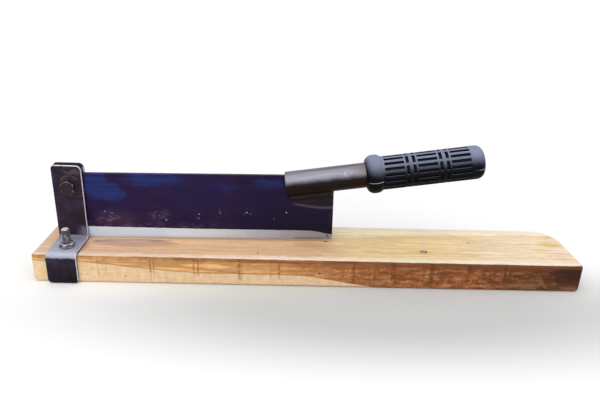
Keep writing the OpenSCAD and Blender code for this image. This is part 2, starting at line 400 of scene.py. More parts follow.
@dataclass(frozen=True)
class PlanedWood:
    """Planed hardwood: honey to cream on top, sapwood and red-brown heartwood on the sawn sides."""

    cream: Colour = (0.930, 0.680, 0.365)
    blush: Colour = (0.900, 0.715, 0.505)
    pale: Colour = (1.000, 0.895, 0.610)
    lens_body: Colour = (0.45, 0.27, 0.225)
    lens_oval: Oval = ((-0.181, -0.0085, 0.0), (0.046, 0.0085, 1.0))
    sapwood: Colour = (0.790, 0.570, 0.345)
    seam: Colour = (0.26, 0.15, 0.055)
    # Colours of the pale band along the top's edges: painted highlight, partly rubbed wear.
    arris: Colour = (0.950, 0.820, 0.700)
    pink_highlight: Colour = (0.90, 0.67, 0.54)
    ring_gap: float = 0.0046
    clean_stain: float = 0.004
    heartwood: tuple[tuple[float, Colour], ...] = (
        (0.00, (0.77, 0.43, 0.165)),
        (0.30, (0.76, 0.405, 0.148)),
        (0.42, (0.71, 0.35, 0.125)),
        (0.54, (0.51, 0.225, 0.082)),
        (0.70, (0.385, 0.140, 0.049)),
        (0.90, (0.400, 0.136, 0.051)),
        (1.00, (0.120, 0.036, 0.018)),
    )
    top_stains: tuple[Stain, ...] = (
        Stain(-0.2310, -0.0200, 0.011, 0.014, MAUVE, 0.45),
        Stain(-0.2180, -0.0345, 0.014, 0.006, GOLD, 0.55),
        Stain(-0.1540, -0.0332, 0.020, 0.0014, MAUVE, 0.50),
        Stain(-0.0003, -0.0054, 0.026, 0.010, TAN, 0.55),
        Stain(0.0640, -0.0190, 0.014, 0.004, TAN, 0.50),
        Stain(0.0880, -0.0210, 0.024, 0.004, GOLD, 0.45),
        Stain(0.1140, -0.0172, 0.024, 0.006, GOLD, 0.60),
        Stain(0.1660, -0.0229, 0.018, 0.0048, GOLD, 0.62),
        Stain(0.2600, 0.0070, 0.019, 0.011, GOLD, 0.72),
        Stain(0.2640, 0.0255, 0.008, 0.0035, PEACH, 0.80),
        Stain(-0.0531, -0.0259, 0.0018, 0.0065, RUST, 0.40),
        Stain(0.0095, -0.0283, 0.0030, 0.0030, RUST, 0.18),
        Stain(0.2430, -0.0080, 0.013, 0.007, GOLD, 0.40),
        Stain(0.2620, -0.0220, 0.022, 0.018, ROSE, 0.36),
        Stain(0.2480, -0.0215, 0.0008, 0.0045, UMBER, 0.50),
        Stain(0.2390, -0.0266, 0.0065, 0.0007, UMBER, 0.50),
    )
    knots: tuple[Stain, ...] = (
        Stain(0.1185, -0.0161, 0.0043, 0.0034, (0.17, 0.065, 0.075), 1.0, 0.74),
        Stain(0.1185, -0.0161, 0.0026, 0.0019, (0.66, 0.42, 0.40), 1.0, 0.6),
        Stain(0.1720, 0.0072, 0.0040, 0.0018, (0.36, 0.17, 0.10), 0.7, 0.3),
        Stain(0.0178, 0.0030, 0.0034, 0.0022, (0.10, 0.05, 0.03), 0.85, 0.35),
    )
    side_stains: tuple[Stain, ...] = (
        Stain(-0.0700, 0.0185, 0.060, 0.0022, PEACH, 0.45),
        Stain(0.0970, 0.0225, 0.026, 0.0016, PEACH, 0.22),
        Stain(0.1400, 0.0210, 0.034, 0.0016, TAN, 0.35),
        Stain(0.0030, 0.0195, 0.006, 0.0045, RUST, 0.50),
        Stain(0.0890, 0.0190, 0.014, 0.0060, RUST, 0.65),
        Stain(0.1590, 0.0165, 0.016, 0.0045, RUST, 0.55),
        Stain(0.1870, 0.0238, 0.040, 0.0014, UMBER, 0.75),
        Stain(0.2330, 0.0110, 0.006, 0.0090, TAN, 0.16),
        Stain(0.2150, 0.0060, 0.030, 0.0040, GOLD, 0.14),
        Stain(0.2660, 0.0190, 0.038, 0.0170, CHAR, 0.97),
        Stain(0.2650, 0.0040, 0.014, 0.0045, TAN, 0.14),
        Stain(0.0095, 0.0155, 0.0019, 0.0014, CHAR, 0.95),
        Stain(0.0132, 0.0158, 0.0011, 0.0010, CHAR, 0.80),
        Stain(-0.1837, 0.0080, 0.0022, 0.0016, RUST, 0.45),
        Stain(-0.2640, 0.0262, 0.008, 0.0012, UMBER, 0.50),
    )
    saw_marks: tuple[tuple[float, float, float], ...] = (
        (-0.2099, 0.0007, 0.40), (-0.2030, 0.0024, 0.26), (-0.1586, 0.0009, 0.95), (-0.1552, 0.0007, 0.80),
        (-0.1156, 0.0008, 0.90), (-0.1116, 0.0009, 0.90), (-0.0708, 0.0016, 0.95), (-0.0682, 0.0006, 0.60),
        (-0.0395, 0.0010, 0.40), (-0.0311, 0.0011, 0.85), (0.0433, 0.0018, 0.75), (0.0838, 0.0024, 0.85),
        (0.1219, 0.0020, 0.85), (0.1596, 0.0018, 0.95), (0.1960, 0.0016, 0.90),
    )

    def make(self) -> Material:
        """Builds the wood's node tree.

        Returns:
            The material.
        """
        g = Timber("planed_wood")
        fibre = g.cloud(1.0, 3.0, 0.6, (45.0, 1500.0, 1500.0), g.drift)
        pores = g.ease(g.cells(1.0, (110.0, 1300.0, 1300.0), g.drift), 0.24, 0.08)
        rings = self.rings(g)
        tone = g.mix(g.ease(g.out_z, 0.78, 0.93), self.sawn(g), self.planed(g, rings))
        tone = self.rim(g, tone)
        ends = g.ease(g.calc("ABSOLUTE", g.out_x), 0.60, 0.85)
        tone = g.lay(tone, g.shade(tone, g.ease(rings, 0.2, 0.9, 0.55, 0.95)), ends, 0.7)
        tone = g.lay(tone, g.shade(tone, 0.55), pores, 0.30)
        tone = g.shade(tone, g.ease(fibre, 0.25, 0.75, 0.90, 1.06))
        rough = g.ease(g.streak, 0.2, 0.8, 0.52, 0.68)
        return g.dress(tone, rough, 0.0, 0.12, (g.streak, 0.00014), (fibre, 0.00008))

    def rings(self, g: Timber) -> NodeSocket:
        """Growth rings about a pith below the board.

        Args:
            g: Graph to add to.

        Returns:
            A wave from 0 to 1.
        """
        _, across, height = g.split(g.drift)
        below = g.calc("ADD", g.shift(0.055, g.x, 0.03), height)
        beside = g.less(across, 0.012)
        squares = g.calc("MULTIPLY_ADD", beside, beside, g.times(below, below))
        turns = g.times(g.calc("SQRT", squares), FULL_TURN / self.ring_gap)
        wave = g.calc("SINE", g.shift(turns, g.streak, 5.0))
        return g.shift(0.5, wave, 0.5)

    def planed(self, g: Timber, rings: NodeSocket) -> NodeSocket:
        """Colour of the planed top, with its figure, knots and stains.

        Args:
            g: Graph to add to.
            rings: Growth rings.

        Returns:
            The colour's socket.
        """
        blotch = g.cloud(14.0, 3.0, 0.5, (0.6, 2.0, 2.0))
        along = g.shift(g.less(g.x, 0.045), blotch, 0.09)
        tone = g.mix(g.ease(along, -0.240, -0.150), ROSE, HONEY)
        tone = g.mix(g.ease(along, -0.010, 0.060), tone, self.cream)
        tone = g.mix(g.ease(along, 0.100, 0.230), tone, self.blush)
        back = g.shift(g.less(g.y, g.shift(0.0075, g.x, 0.070)), g.streak, 0.006)
        behind_blade = g.ease(g.x, -0.03, 0.04)
        tone = g.lay(tone, self.pale, g.ease(back, 0.000, 0.0200), behind_blade)
        seam = g.times(g.band(back, 0.0040, 0.0004, 0.0016), behind_blade)
        tone = g.lay(tone, TAN, seam, g.ease(g.streak, 0.40, 0.60, 0.0, 0.5))
        tone = self.lens(g, tone)
        tone = g.lay(tone, TAN, g.ease(rings, 0.78, 0.98), g.ease(g.streak, 0.40, 0.62), 0.24)
        face = g.join(g.x, g.y, 0.0)
        for stain in self.top_stains:
            tone = stain.lay(g, face, tone)
        fleck = g.cloud(1.0, 5.0, 0.72, (90.0, 520.0, 520.0))
        tone = g.shade(tone, g.ease(fleck, 0.42, 0.58, 0.94, 1.05))
        tone = g.shade(tone, g.ease(g.streak, 0.36, 0.64, 0.90, 1.10))
        wobble = g.cloud(220.0, 2.0)
        bent = g.join(g.shift(g.x, wobble, 0.0012), g.shift(g.y, wobble, 0.0012), 0.0)
        for knot in self.knots:
            tone = knot.lay(g, bent, tone)
        return tone

    def lens(self, g: Timber, tone: NodeSocket) -> NodeSocket:
        """Adds the long mauve lens of figure in front of the blade's heel.

        Args:
            g: Graph to add to.
            tone: Colour of the wood round it.

        Returns:
            The colour's socket.
        """
        moved = g.join(g.x, g.shift(g.y, g.streak, 0.015, 0.35), 0.0)
        reach = g.oval(*self.lens_oval, moved)
        tone = g.lay(tone, self.lens_body, g.ease(reach, 1.1, 0.5), 0.70)
        rim = g.times(g.band(reach, 0.84, 0.08, 0.20), g.ease(g.y, -0.0125, -0.0070, 0.30, 1.0))
        broken = g.ease(g.cloud(1.0, 3.0, 0.6, (60.0, 420.0, 1.0)), 0.34, 0.60, 0.35, 1.0)
        return g.lay(tone, MAUVE, rim, broken, 0.80)

    def rim(self, g: Timber, tone: NodeSocket) -> NodeSocket:
        """Adds the pale band along the top's edges, a painted highlight partly from rubbing, and the dark
        line below it.

        Args:
            g: Graph to add to.
            tone: Colour so far.

        Returns:
            The colour's socket.
        """
        flaw = g.cloud(330.0, 4.0, 0.7, (0.30, 1.0, 1.0))
        reach = g.shift(g.calc("ABSOLUTE", g.y), flaw, 0.0120, 0.5)
        # Painted highlight along the top's edges, partly rubbed wear.
        rubbed = g.times(g.ease(reach, 0.0300, 0.0375), g.ease(g.out_z, 0.90, 0.99))
        broken = g.ease(g.cloud(420.0, 3.0, 0.7, (0.25, 1.0, 1.0)), 0.34, 0.52, 0.30, 0.92)
        pink = g.mix(g.ease(g.x, -0.20, 0.02), self.pink_highlight, self.arris)
        tone = g.lay(tone, pink, rubbed, broken)
        bent = g.times(g.ease(g.out_z, 0.99, 0.90), g.ease(g.out_z, 0.50, 0.75))
        tone = g.lay(tone, g.shade(tone, 0.45), bent, g.ease(flaw, 0.44, 0.57, 0.05, 0.85))
        level = g.shift(g.z, flaw, 0.0040, 0.5)
        under = g.times(g.ease(level, 0.0252, 0.0268), g.ease(g.out_z, 0.93, 0.80))
        under = g.times(under, g.ease(g.x, -0.25, -0.02, 0.40, 1.0))
        return g.lay(tone, UMBER, under, g.ease(g.streak, 0.30, 0.60, 0.20, 0.90))

    def sawn(self, g: Timber) -> NodeSocket:
        """Colour of the sawn sides: sapwood below a falling line, heartwood above, with saw marks.

        Args:
            g: Graph to add to.

        Returns:
            The colour's socket.
        """
        wander = g.cloud(30.0, 2.0, 0.5, (1.0, 0.1, 0.1))
        near, far = g.ease(g.x, -0.250, -0.100, 0.0240, 0.0132), g.ease(g.x, -0.025, 0.090, 0.0, 0.0145)
        over = g.less(g.z, g.shift(g.less(near, far), wander, 0.0022, 0.5))
        fleck = g.cloud(1.0, 5.0, 0.75, (70.0, 290.0, 290.0))
        ragged = g.cloud(150.0, 5.0, 0.75, (0.8, 1.0, 1.0))
        sap = self.sap(g, fleck, ragged)
        tone = g.mix(g.ease(over, -0.0004, 0.0008), sap, self.heart(g, fleck, ragged))
        seam = g.times(g.band(over, 0.0002, 0.0003, 0.0008), g.ease(g.x, 0.06, -0.08, 0.25, 1.0))
        tone = g.lay(tone, self.seam, seam, 0.60)
        tone = g.lay(tone, g.shade(RUST, g.ease(g.x, -0.05, 0.10, 1.0, 0.24)), self.chatter(g))
        face = g.join(g.x, g.z, 0.0)
        torn = g.join(g.shift(g.x, ragged, 0.050, 0.5), g.shift(g.z, fleck, 0.014, 0.5), 0.0)
        for stain in self.side_stains:
            tone = stain.lay(g, torn if stain.half_along > self.clean_stain else face, tone)
        return tone

    def heart(self, g: Timber, fleck: NodeSocket, ragged: NodeSocket) -> NodeSocket:
        """Colour of the heartwood, redder and rougher towards the handle's end.

        Args:
            g: Graph to add to.
            fleck: Short flecks.
            ragged: Ragged lumps.

        Returns:
            The colour's socket.
        """
        along = g.shift(g.ease(g.x, -0.275, 0.275), g.streak, 0.22, 0.5)
        tone = g.shade(g.ramp(along, self.heartwood), g.ease(g.streak, 0.40, 0.60, 0.66, 1.26))
        rough_end = g.ease(g.x, -0.06, 0.10)
        red = g.shade(RUST, g.ease(g.x, -0.12, 0.25, 1.15, 0.32))
        tan = g.shade(TAN, g.ease(g.x, -0.05, 0.25, 1.25, 0.55))
        gleam = g.cloud(210.0, 5.0, 0.72, (0.30, 1.0, 1.0), offset=(3.0, 0.0, 0.0))
        tone = g.lay(tone, g.shade(tone, g.ease(fleck, 0.40, 0.58, 0.55, 1.18)), rough_end)
        tone = g.lay(tone, tan, g.ease(gleam, 0.50, 0.70, 0.0, 0.45))
        tone = g.lay(tone, tan, rough_end, g.ease(fleck, 0.50, 0.64, 0.0, 0.50))
        tone = g.lay(tone, red, g.ease(ragged, 0.49, 0.56), g.shift(0.25, rough_end, 0.55))
        kerf = g.cloud(1.0, 4.0, 0.65, (620.0, 60.0, 60.0))
        hatched = g.times(g.ease(g.cloud(26.0, 2.0), 0.42, 0.58), g.ease(g.x, -0.02, 0.08))
        tone = g.lay(tone, red, hatched, g.ease(kerf, 0.48, 0.58, 0.0, 0.60))
        depth = g.shift(g.ease(g.x, -0.19, 0.10, 0.0312, 0.0240), ragged, -0.010)
        crown = g.times(g.ease(g.less(g.z, depth), 0.0, 0.0045), g.ease(g.streak, 0.32, 0.56, 0.4, 1.0))
        return g.lay(tone, g.shade(RUST, g.ease(g.x, -0.05, 0.20, 1.05, 0.34)), crown, 0.70)

    def sap(self, g: Timber, fleck: NodeSocket, ragged: NodeSocket) -> NodeSocket:
        """Colour of the sapwood.

        Args:
            g: Graph to add to.
            fleck: Short flecks.
            ragged: Ragged lumps.

        Returns:
            The colour's socket.
        """
        tone = g.shade(self.sapwood, g.ease(fleck, 0.42, 0.58, 0.96, 1.03))
        upright = g.cloud(1.0, 4.0, 0.7, (340.0, 110.0, 110.0))
        tone = g.shade(tone, g.ease(upright, 0.42, 0.58, 0.94, 1.05))
        tone = g.lay(tone, PEACH, g.ease(ragged, 0.44, 0.60, 0.0, 0.35))
        dots = g.times(g.ease(g.cells(270.0), 0.27, 0.10), g.ease(g.cloud(55.0, 2.0), 0.44, 0.56))
        return g.lay(tone, TAN, dots, 0.65)

    def chatter(self, g: Timber) -> NodeSocket:
        """Mask of the short upright saw marks.

        Args:
            g: Graph to add to.

        Returns:
            The mask's socket.
        """
        moved = g.shift(g.x, g.cloud(300.0, 3.0, 0.6, (0.5, 0.5, 1.0)), 0.0022, 0.5)
        lines = [g.times(g.band(moved, x, width / 2.0, width), share) for x, width, share in self.saw_marks]
        broken = g.ease(g.cloud(330.0, 2.0, 0.6), 0.34, 0.56, 0.15, 1.0)
        tall = g.ease(g.shift(g.z, g.cloud(60.0, 1.0), 0.014), 0.011, 0.018)
        return g.times(g.largest(lines), broken, tall, 0.85)


@dataclass(frozen=True)
class ScaledSteel:
    """Black mill scale on hot-rolled flat bar, smeared near the top, with painted shade low down and a
    painted blue-grey sheen, partly rubbed wear, on its foot.
    """

    scale: Colour = (0.0330, 0.0215, 0.0410)
    soot: Colour = (0.0190, 0.0110, 0.0220)
    brown: Colour = (0.105, 0.072, 0.075)
    # Blue-greys of the foot: painted sheen, partly rubbed wear. The first also fills the rubbed patch on the
    # cheek.
    rubbed: Colour = (0.390, 0.385, 0.515)
    polished_sheen: Colour = (0.450, 0.465, 0.560)
    rubbed_patch: Oval = ((-0.2300, -0.0075, 0.0385), (0.013, 0.02, 0.011))
    top_smear: Oval = ((-0.240, -0.0053, 0.1035), (0.014, 0.02, 0.0055))
    head_ring: Oval = ((-0.2425, 0.0, 0.0890), (0.0112, 0.2, 0.0112))
    skirt_dab: Oval = ((-0.2415, -0.0452, 0.0105), (0.0035, 0.004, 0.0035))
    edge_nick: Oval = ((-0.2565, -0.0053, 0.0985), (0.0016, 0.004, 0.0028))

    def make(self) -> Material:
        """Builds the scale's node tree.

        Returns:
            The material.
        """
        g = Graph("black_mill_scale")
        mottle = g.cloud(90.0, 5.0, 0.6)
        fine = g.cloud(900.0, 3.0, 0.6)
        tone = g.mix(g.ease(mottle, 0.36, 0.70), self.soot, self.scale)
        tone = g.lay(tone, self.brown, self.smears(g), 0.70)
        seam = g.times(g.band(g.z, 0.0775, 0.0001, 0.0005), g.ease(g.cloud(160.0, 2.0), 0.40, 0.60))
        tone = g.lay(tone, self.brown, seam, 0.45)
        # Painted shade: the strap grows darker towards its bottom, over the skirt.
        tone = g.shade(tone, g.ease(g.shift(g.z, mottle, 0.012), 0.010, 0.032, 0.40, 1.0))
        patch = g.spot(*self.rubbed_patch, 0.2)
        tone = g.lay(tone, self.rubbed, patch, g.ease(mottle, 0.35, 0.60, 0.0, 0.35))
        # Painted sheen, partly rubbed wear, on the faces that look up, low on the strap.
        ragged = g.shift(g.out_z, g.cloud(240.0, 4.0, 0.65), 0.40, 0.5)
        foot = g.times(g.ease(ragged, 0.08, 0.42), g.ease(g.z, 0.060, 0.040))
        tone = g.lay(tone, self.foot(g, mottle, fine), foot)
        rough = g.ease(mottle, 0.25, 0.75, 0.40, 0.56)
        return g.dress(tone, rough, g.times(foot, 0.15), 0.10, (mottle, 0.00016), (fine, 0.00003))

    def foot(self, g: Graph, mottle: NodeSocket, fine: NodeSocket) -> NodeSocket:
        """Colour of the foot, brightest towards its outer bend: painted sheen, partly rubbed wear, with
        painted shadow by the cheek and painted shade down the bend.

        Args:
            g: Graph to add to.
            mottle: Coarse patches.
            fine: Fine grain.

        Returns:
            The colour's socket.
        """
        out = g.calc("ABSOLUTE", g.y)
        # The sheen grows away from the cheek: painted sheen, partly rubbed wear.
        worn = g.shift(out, mottle, 0.020, 0.5)
        grey = g.mix(g.ease(worn, 0.030, 0.043), self.rubbed, self.polished_sheen)
        # Painted shadow of the cheek over the foot's inner part.
        shadow = g.ease(g.shift(out, mottle, 0.010), 0.010, 0.024, 0.55, 1.0)
        grey = g.shade(grey, g.times(shadow, g.ease(fine, 0.30, 0.70, 0.86, 1.08)))
        grey = g.lay(grey, self.scale, g.ease(g.cloud(260.0, 4.0, 0.7), 0.60, 0.74), 0.45)
        # Painted shade where the foot bends down into the skirt.
        return g.shade(grey, g.ease(g.out_z, 0.30, 0.95, 0.72, 1.0))

    def smears(self, g: Graph) -> NodeSocket:
        """Mask of the brown smears on the cheek: at its top, round the pivot's head and on the skirt.

        Args:
            g: Graph to add to.

        Returns:
            The mask's socket.
        """
        rough = g.ease(g.cloud(300.0, 4.0, 0.65, (0.6, 1.0, 1.3)), 0.44, 0.62)
        top = g.times(g.spot(*self.top_smear), rough)
        reach = g.oval(*self.head_ring)
        ring = g.times(g.band(reach, 0.86, 0.04, 0.10), g.ease(g.cloud(120.0, 2.0), 0.50, 0.60))
        halo = g.times(g.ease(reach, 1.1, 0.7), g.ease(g.cloud(180.0, 4.0, 0.6), 0.50, 0.68, 0.0, 0.5))
        dab = g.times(g.spot(*self.skirt_dab, 0.1), 0.25)
        nick = g.times(g.spot(*self.edge_nick), rough)
        return g.largest((top, ring, halo, dab, nick))


@dataclass(frozen=True)
class WornEdge:
    """Bare steel on an edge, bright where it is rubbed and dark where scale is left."""

    bare: Colour = (0.62, 0.59, 0.62)
    left: Colour = (0.150, 0.130, 0.145)

    def make(self) -> Material:
        """Builds the edge's node tree.

        Returns:
            The material.
        """
        g = Graph("worn_steel_edge")
        patch = g.cloud(170.0, 4.0, 0.65)
        bare = g.shade(self.bare, g.ease(g.cloud(900.0), 0.3, 0.7, 0.85, 1.1))
        tone = g.mix(g.ease(patch, 0.30, 0.46), self.left, bare)
        grain = g.cloud(1400.0, 3.0)
        return g.dress(tone, g.ease(patch, 0.3, 0.7, 0.50, 0.36), 0.35, 0.5, (grain, 0.00005))


@dataclass(frozen=True)
class Fastener:
    """Plated or blackened fastener steel with rubbed patches; two variants serve as the painted highlight of
    turned edges.
    """

    name: str
    plate: Colour
    rubbed: Colour
    metal: float
    gloss: tuple[float, float]

    def make(self) -> Material:
        """Builds the fastener's node tree.

        Returns:
            The material.
        """
        g = Graph(self.name)
        patch = g.cloud(260.0, 4.0, 0.6)
        fine = g.cloud(1600.0, 2.0, 0.6)
        tone = g.mix(g.ease(patch, 0.42, 0.68), self.plate, self.rubbed)
        tone = g.shade(tone, g.ease(fine, 0.25, 0.75, 0.82, 1.12))
        return g.dress(tone, g.ease(patch, 0.25, 0.75, *self.gloss), self.metal, 0.3, (fine, 0.00003))


@dataclass(frozen=True)
class LeverFrame:
    """The lever's own frame, in which its edge lies level. It stands open about the pivot."""

    open_deg: float = 0.8
    blade_low: Place = (-0.2555, -0.002, 0.030)
    blade_high: Place = (0.0225, 0.002, 0.101)

    def pivot(self) -> Vector:
        """Middle of the pivot bolt, in the plane of the blade."""
        low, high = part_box("pivot_bolt")
        return Vector(((low.x + high.x) / 2.0, 0.0, (low.z + high.z) / 2.0))

    def matrix(self) -> Matrix:
        """Turns places on the level lever into frame places."""
        swing = Matrix.Rotation(-math.radians(self.open_deg), 4, "Y")
        return Matrix.Translation(self.pivot()) @ swing @ Matrix.Translation(-self.pivot())


@dataclass(frozen=True)
class BluedSteel:
    """Heat-blued plate: indigo and purple, with blue patches, pale pits and a brown heat zone."""

    indigo: Colour = (0.0190, 0.0120, 0.0520)
    plum: Colour = (0.0250, 0.0115, 0.0440)
    night: Colour = (0.0125, 0.0088, 0.0230)
    blue: Colour = (0.0210, 0.0290, 0.1300)
    umber: Colour = (0.0230, 0.0140, 0.0190)
    tint: Colour = (0.085, 0.066, 0.085)
    haze: Colour = (0.058, 0.031, 0.058)
    scale: Colour = (0.135, 0.082, 0.135)
    pit: Colour = (0.42, 0.38, 0.47)
    heat_zone: Patch = (0.004, 0.086, 0.036, 0.022, 0.7)
    haze_patch: Patch = (-0.200, 0.049, 0.036, 0.018, 0.1)
    bare_patch: Patch = (-0.201, 0.0985, 0.009, 0.009, 0.5)
    near_scale: Patch = (-0.207, 0.051, 0.018, 0.013, 0.2)
    next_scale: Patch = (-0.157, 0.057, 0.016, 0.011, 0.1)
    cluster_shape: tuple[float, float, float] = (0.010, 0.0075, 0.05)
    blue_patches: tuple[Patch, ...] = (
        (-0.213, 0.089, 0.024, 0.022, 0.50),
        (-0.203, 0.079, 0.014, 0.011, 0.30),
        (-0.160, 0.0950, 0.036, 0.010, 0.40),
        (-0.087, 0.0875, 0.017, 0.008, -0.60),
        (-0.042, 0.0920, 0.032, 0.0090, -0.30),
    )
    plum_patches: tuple[Patch, ...] = (
        (-0.187, 0.083, 0.012, 0.016, 0.3),
        (-0.100, 0.056, 0.030, 0.015, 0.2),
        (-0.195, 0.055, 0.040, 0.016, 0.3),
    )
    lone_pits: tuple[tuple[float, float, float], ...] = (
        (-0.2116, 0.0603, 0.0008), (-0.2045, 0.0581, 0.0007), (-0.1151, 0.0580, 0.0009),
        (-0.1159, 0.0532, 0.0008), (-0.0664, 0.0603, 0.0011), (-0.0255, 0.0605, 0.0010),
        (-0.0383, 0.0535, 0.0006), (-0.1493, 0.0510, 0.0010),
    )
    pit_clusters: tuple[tuple[float, float], ...] = (
        (-0.154, 0.056), (-0.118, 0.056), (-0.094, 0.0585), (-0.064, 0.060),
    )

    def make(self, lever: LeverFrame) -> Material:
        """Builds the blueing's node tree.

        Args:
            lever: The lever's frame.

        Returns:
            The material.
        """
        g = Graph("heat_blued_steel", lever.matrix())
        drag = g.cloud(1.0, 5.0, 0.6, (22.0, 60.0, 300.0))
        mottle = g.cloud(38.0, 4.0, 0.55, (0.6, 1.0, 1.0))
        fine = g.cloud(700.0, 4.0, 0.65)
        tone = g.mix(g.ease(mottle, 0.42, 0.66), self.indigo, self.plum)
        low = g.ease(g.shift(g.z, mottle, 0.02), 0.080, 0.062)
        dusk = g.times(g.ease(g.shift(g.x, mottle, 0.06), -0.085, 0.005), g.shift(0.6, low, 0.4))
        tone = g.lay(tone, self.night, dusk, 0.9)
        tone = g.lay(tone, self.plum, g.largest(g.patch(*row) for row in self.plum_patches), 0.75)
        tone = g.lay(tone, self.blue, self.blues(g, drag))
        tone = g.lay(tone, self.umber, g.patch(*self.heat_zone), 0.9)
        tone = g.lay(tone, self.tint, self.tint_line(g))
        haze = g.patch(*self.haze_patch)
        tone = g.lay(tone, self.haze, haze, g.ease(mottle, 0.3, 0.6, 0.4, 0.9))
        tone = g.lay(tone, self.scale, self.brown_scale(g, fine))
        pits = self.pits(g)
        tone = g.lay(tone, self.pit, pits)
        tone = g.shade(tone, g.ease(drag, 0.25, 0.75, 0.88, 1.14))
        bumps = ((mottle, 0.0003), (drag, 0.00006), (g.shift(fine, pits, -3.0), 0.00004))
        return g.dress(tone, g.ease(drag, 0.25, 0.75, 0.36, 0.52), 0.85, 0.25, *bumps)

    def blues(self, g: Graph, drag: NodeSocket) -> NodeSocket:
        """Mask of the blue patches near the straps and along the upper edge.

        Args:
            g: Graph to add to.
            drag: Level streaks that break them up.

        Returns:
            The mask's socket.
        """
        tear_x = g.cloud(70.0, 4.0, 0.6)
        tear_z = g.cloud(95.0, 4.0, 0.6, (0.6, 1.0, 1.0), offset=(7.0, 0.0, 3.0))
        torn = g.join(g.shift(g.x, tear_x, 0.030, 0.5), g.y, g.shift(g.z, tear_z, 0.020, 0.5))
        patches = g.largest(g.patch(*row, torn) for row in self.blue_patches)
        bare = g.less(1.0, g.patch(*self.bare_patch))
        return g.times(patches, bare, g.ease(drag, 0.26, 0.52, 0.55, 1.0))

    def tint_line(self, g: Graph) -> NodeSocket:
        """Mask of the soft pale line at the lower border of the heat zone, and of the arc at the tip.

        Args:
            g: Graph to add to.

        Returns:
            The mask's socket.
        """
        height = g.shift(g.ease(g.x, -0.021, 0.010, 0.0692, 0.0660), g.cloud(60.0, 3.0), 0.0016)
        run = g.times(g.ease(g.x, -0.023, -0.012), g.ease(g.cloud(90.0, 2.0), 0.28, 0.50, 0.3, 1.0))
        line = g.times(g.band(g.z, height, 0.0004, 0.0018), run, 0.75)
        arc = g.times(g.band(g.x, 0.0192, 0.0002, 0.0007), g.band(g.z, 0.053, 0.004, 0.007), 0.25)
        return g.largest((line, arc))

    def brown_scale(self, g: Graph, fine: NodeSocket) -> NodeSocket:
        """Mask of the brown scale above the bevel, heaviest near the straps.

        Args:
            g: Graph to add to.
            fine: Fine grain that breaks it up.

        Returns:
            The mask's socket.
        """
        near = g.patch(*self.near_scale)
        next_one = g.times(g.patch(*self.next_scale), 0.75)
        rim = g.times(g.ease(g.z, 0.051, 0.0425), g.ease(g.x, -0.05, -0.17, 0.0, 0.9))
        ridge = g.ease(g.cloud(240.0, 4.0, 0.65, (0.7, 1.0, 1.6)), 0.42, 0.62)
        return g.times(g.largest((near, next_one, rim)), ridge, g.ease(fine, 0.35, 0.65, 0.4, 0.9))

    def pits(self, g: Graph) -> NodeSocket:
        """Mask of the pale pits, which lie alone and in clusters along the lower half.

        Args:
            g: Graph to add to.

        Returns:
            The mask's socket.
        """
        lone = g.largest(g.patch(x, z, radius, radius) for x, z, radius in self.lone_pits)
        clusters = g.largest(g.patch(x, z, *self.cluster_shape) for x, z in self.pit_clusters)
        specks = g.ease(g.cells(520.0, (1.0, 0.02, 1.0)), 0.26, 0.10)
        smears = g.ease(g.cloud(420.0, 4.0, 0.7), 0.54, 0.68, 0.0, 0.45)
        chosen = g.ease(g.cloud(300.0, 2.0), 0.44, 0.58)
        many = g.times(clusters, g.largest((specks, smears)), chosen, 0.7)
        return g.largest((g.times(lone, 0.85), many))


@dataclass(frozen=True)
class GroundBevel:
    """Bright ground steel with upright grinding scratches, duller and browner towards the tip; its blue tint
    is a painted sky reflection.
    """

    # Bright steel with a blue tint: the steel's own brightness, with a painted sky reflection.
    bright: Colour = (0.72, 0.85, 1.0)
    dull: Colour = (0.275, 0.285, 0.345)
    brown: Colour = (0.20, 0.145, 0.095)
    crack: Colour = (0.03, 0.02, 0.02)
    brown_line: Patch = (-0.002, 0.031, 0.020, 0.01, 0.5)
    crack_arms: tuple[Patch, ...] = (
        (0.0172, 0.0345, 0.0008, 0.0030, 0.5),
        (0.0186, 0.0325, 0.0018, 0.0009, 0.4),
    )

    def make(self, lever: LeverFrame) -> Material:
        """Builds the bevel's node tree.

        Args:
            lever: The lever's frame.

        Returns:
            The material.
        """
        g = Graph("ground_bevel", lever.matrix())
        cuts = g.cloud(1.0, 4.0, 0.6, (900.0, 60.0, 40.0))
        patch = g.cloud(45.0, 3.0, 0.55, (0.7, 1.0, 1.0))
        tone = g.mix(g.ease(g.shift(g.x, patch, 0.04), -0.14, 0.045), self.bright, self.dull)
        tone = g.lay(tone, self.dull, g.ease(g.z, 0.0330, 0.0302, 0.0, 0.40))
        line = g.times(g.ease(g.z, 0.0335, 0.0310), g.patch(*self.brown_line))
        tone = g.lay(tone, self.brown, line, 0.8)
        tone = g.lay(tone, self.crack, g.largest(g.patch(*arm) for arm in self.crack_arms), 0.9)
        tone = g.shade(tone, g.ease(cuts, 0.25, 0.75, 0.97, 1.03))
        return g.dress(tone, g.ease(cuts, 0.2, 0.8, 0.42, 0.56), 0.30, 0.5, (cuts, 0.00001))


@dataclass(frozen=True)
class HandleLine:
    """The handle's own line, from below the blade's upper tip corner, rising towards +X."""

    lever: LeverFrame
    tilt_deg: float = 7.8
    drop: float = 0.0032

    def level_matrix(self) -> Matrix:
        """Turns handle places, with X along the line, into places on the level lever."""
        start = Matrix.Translation((self.lever.blade_high[0], 0.0, self.lever.blade_high[2] - self.drop))
        return start @ Matrix.Rotation(-math.radians(self.tilt_deg), 4, "Y")

    def matrix(self) -> Matrix:
        """Turns handle places into frame places."""
        return self.lever.matrix() @ self.level_matrix()


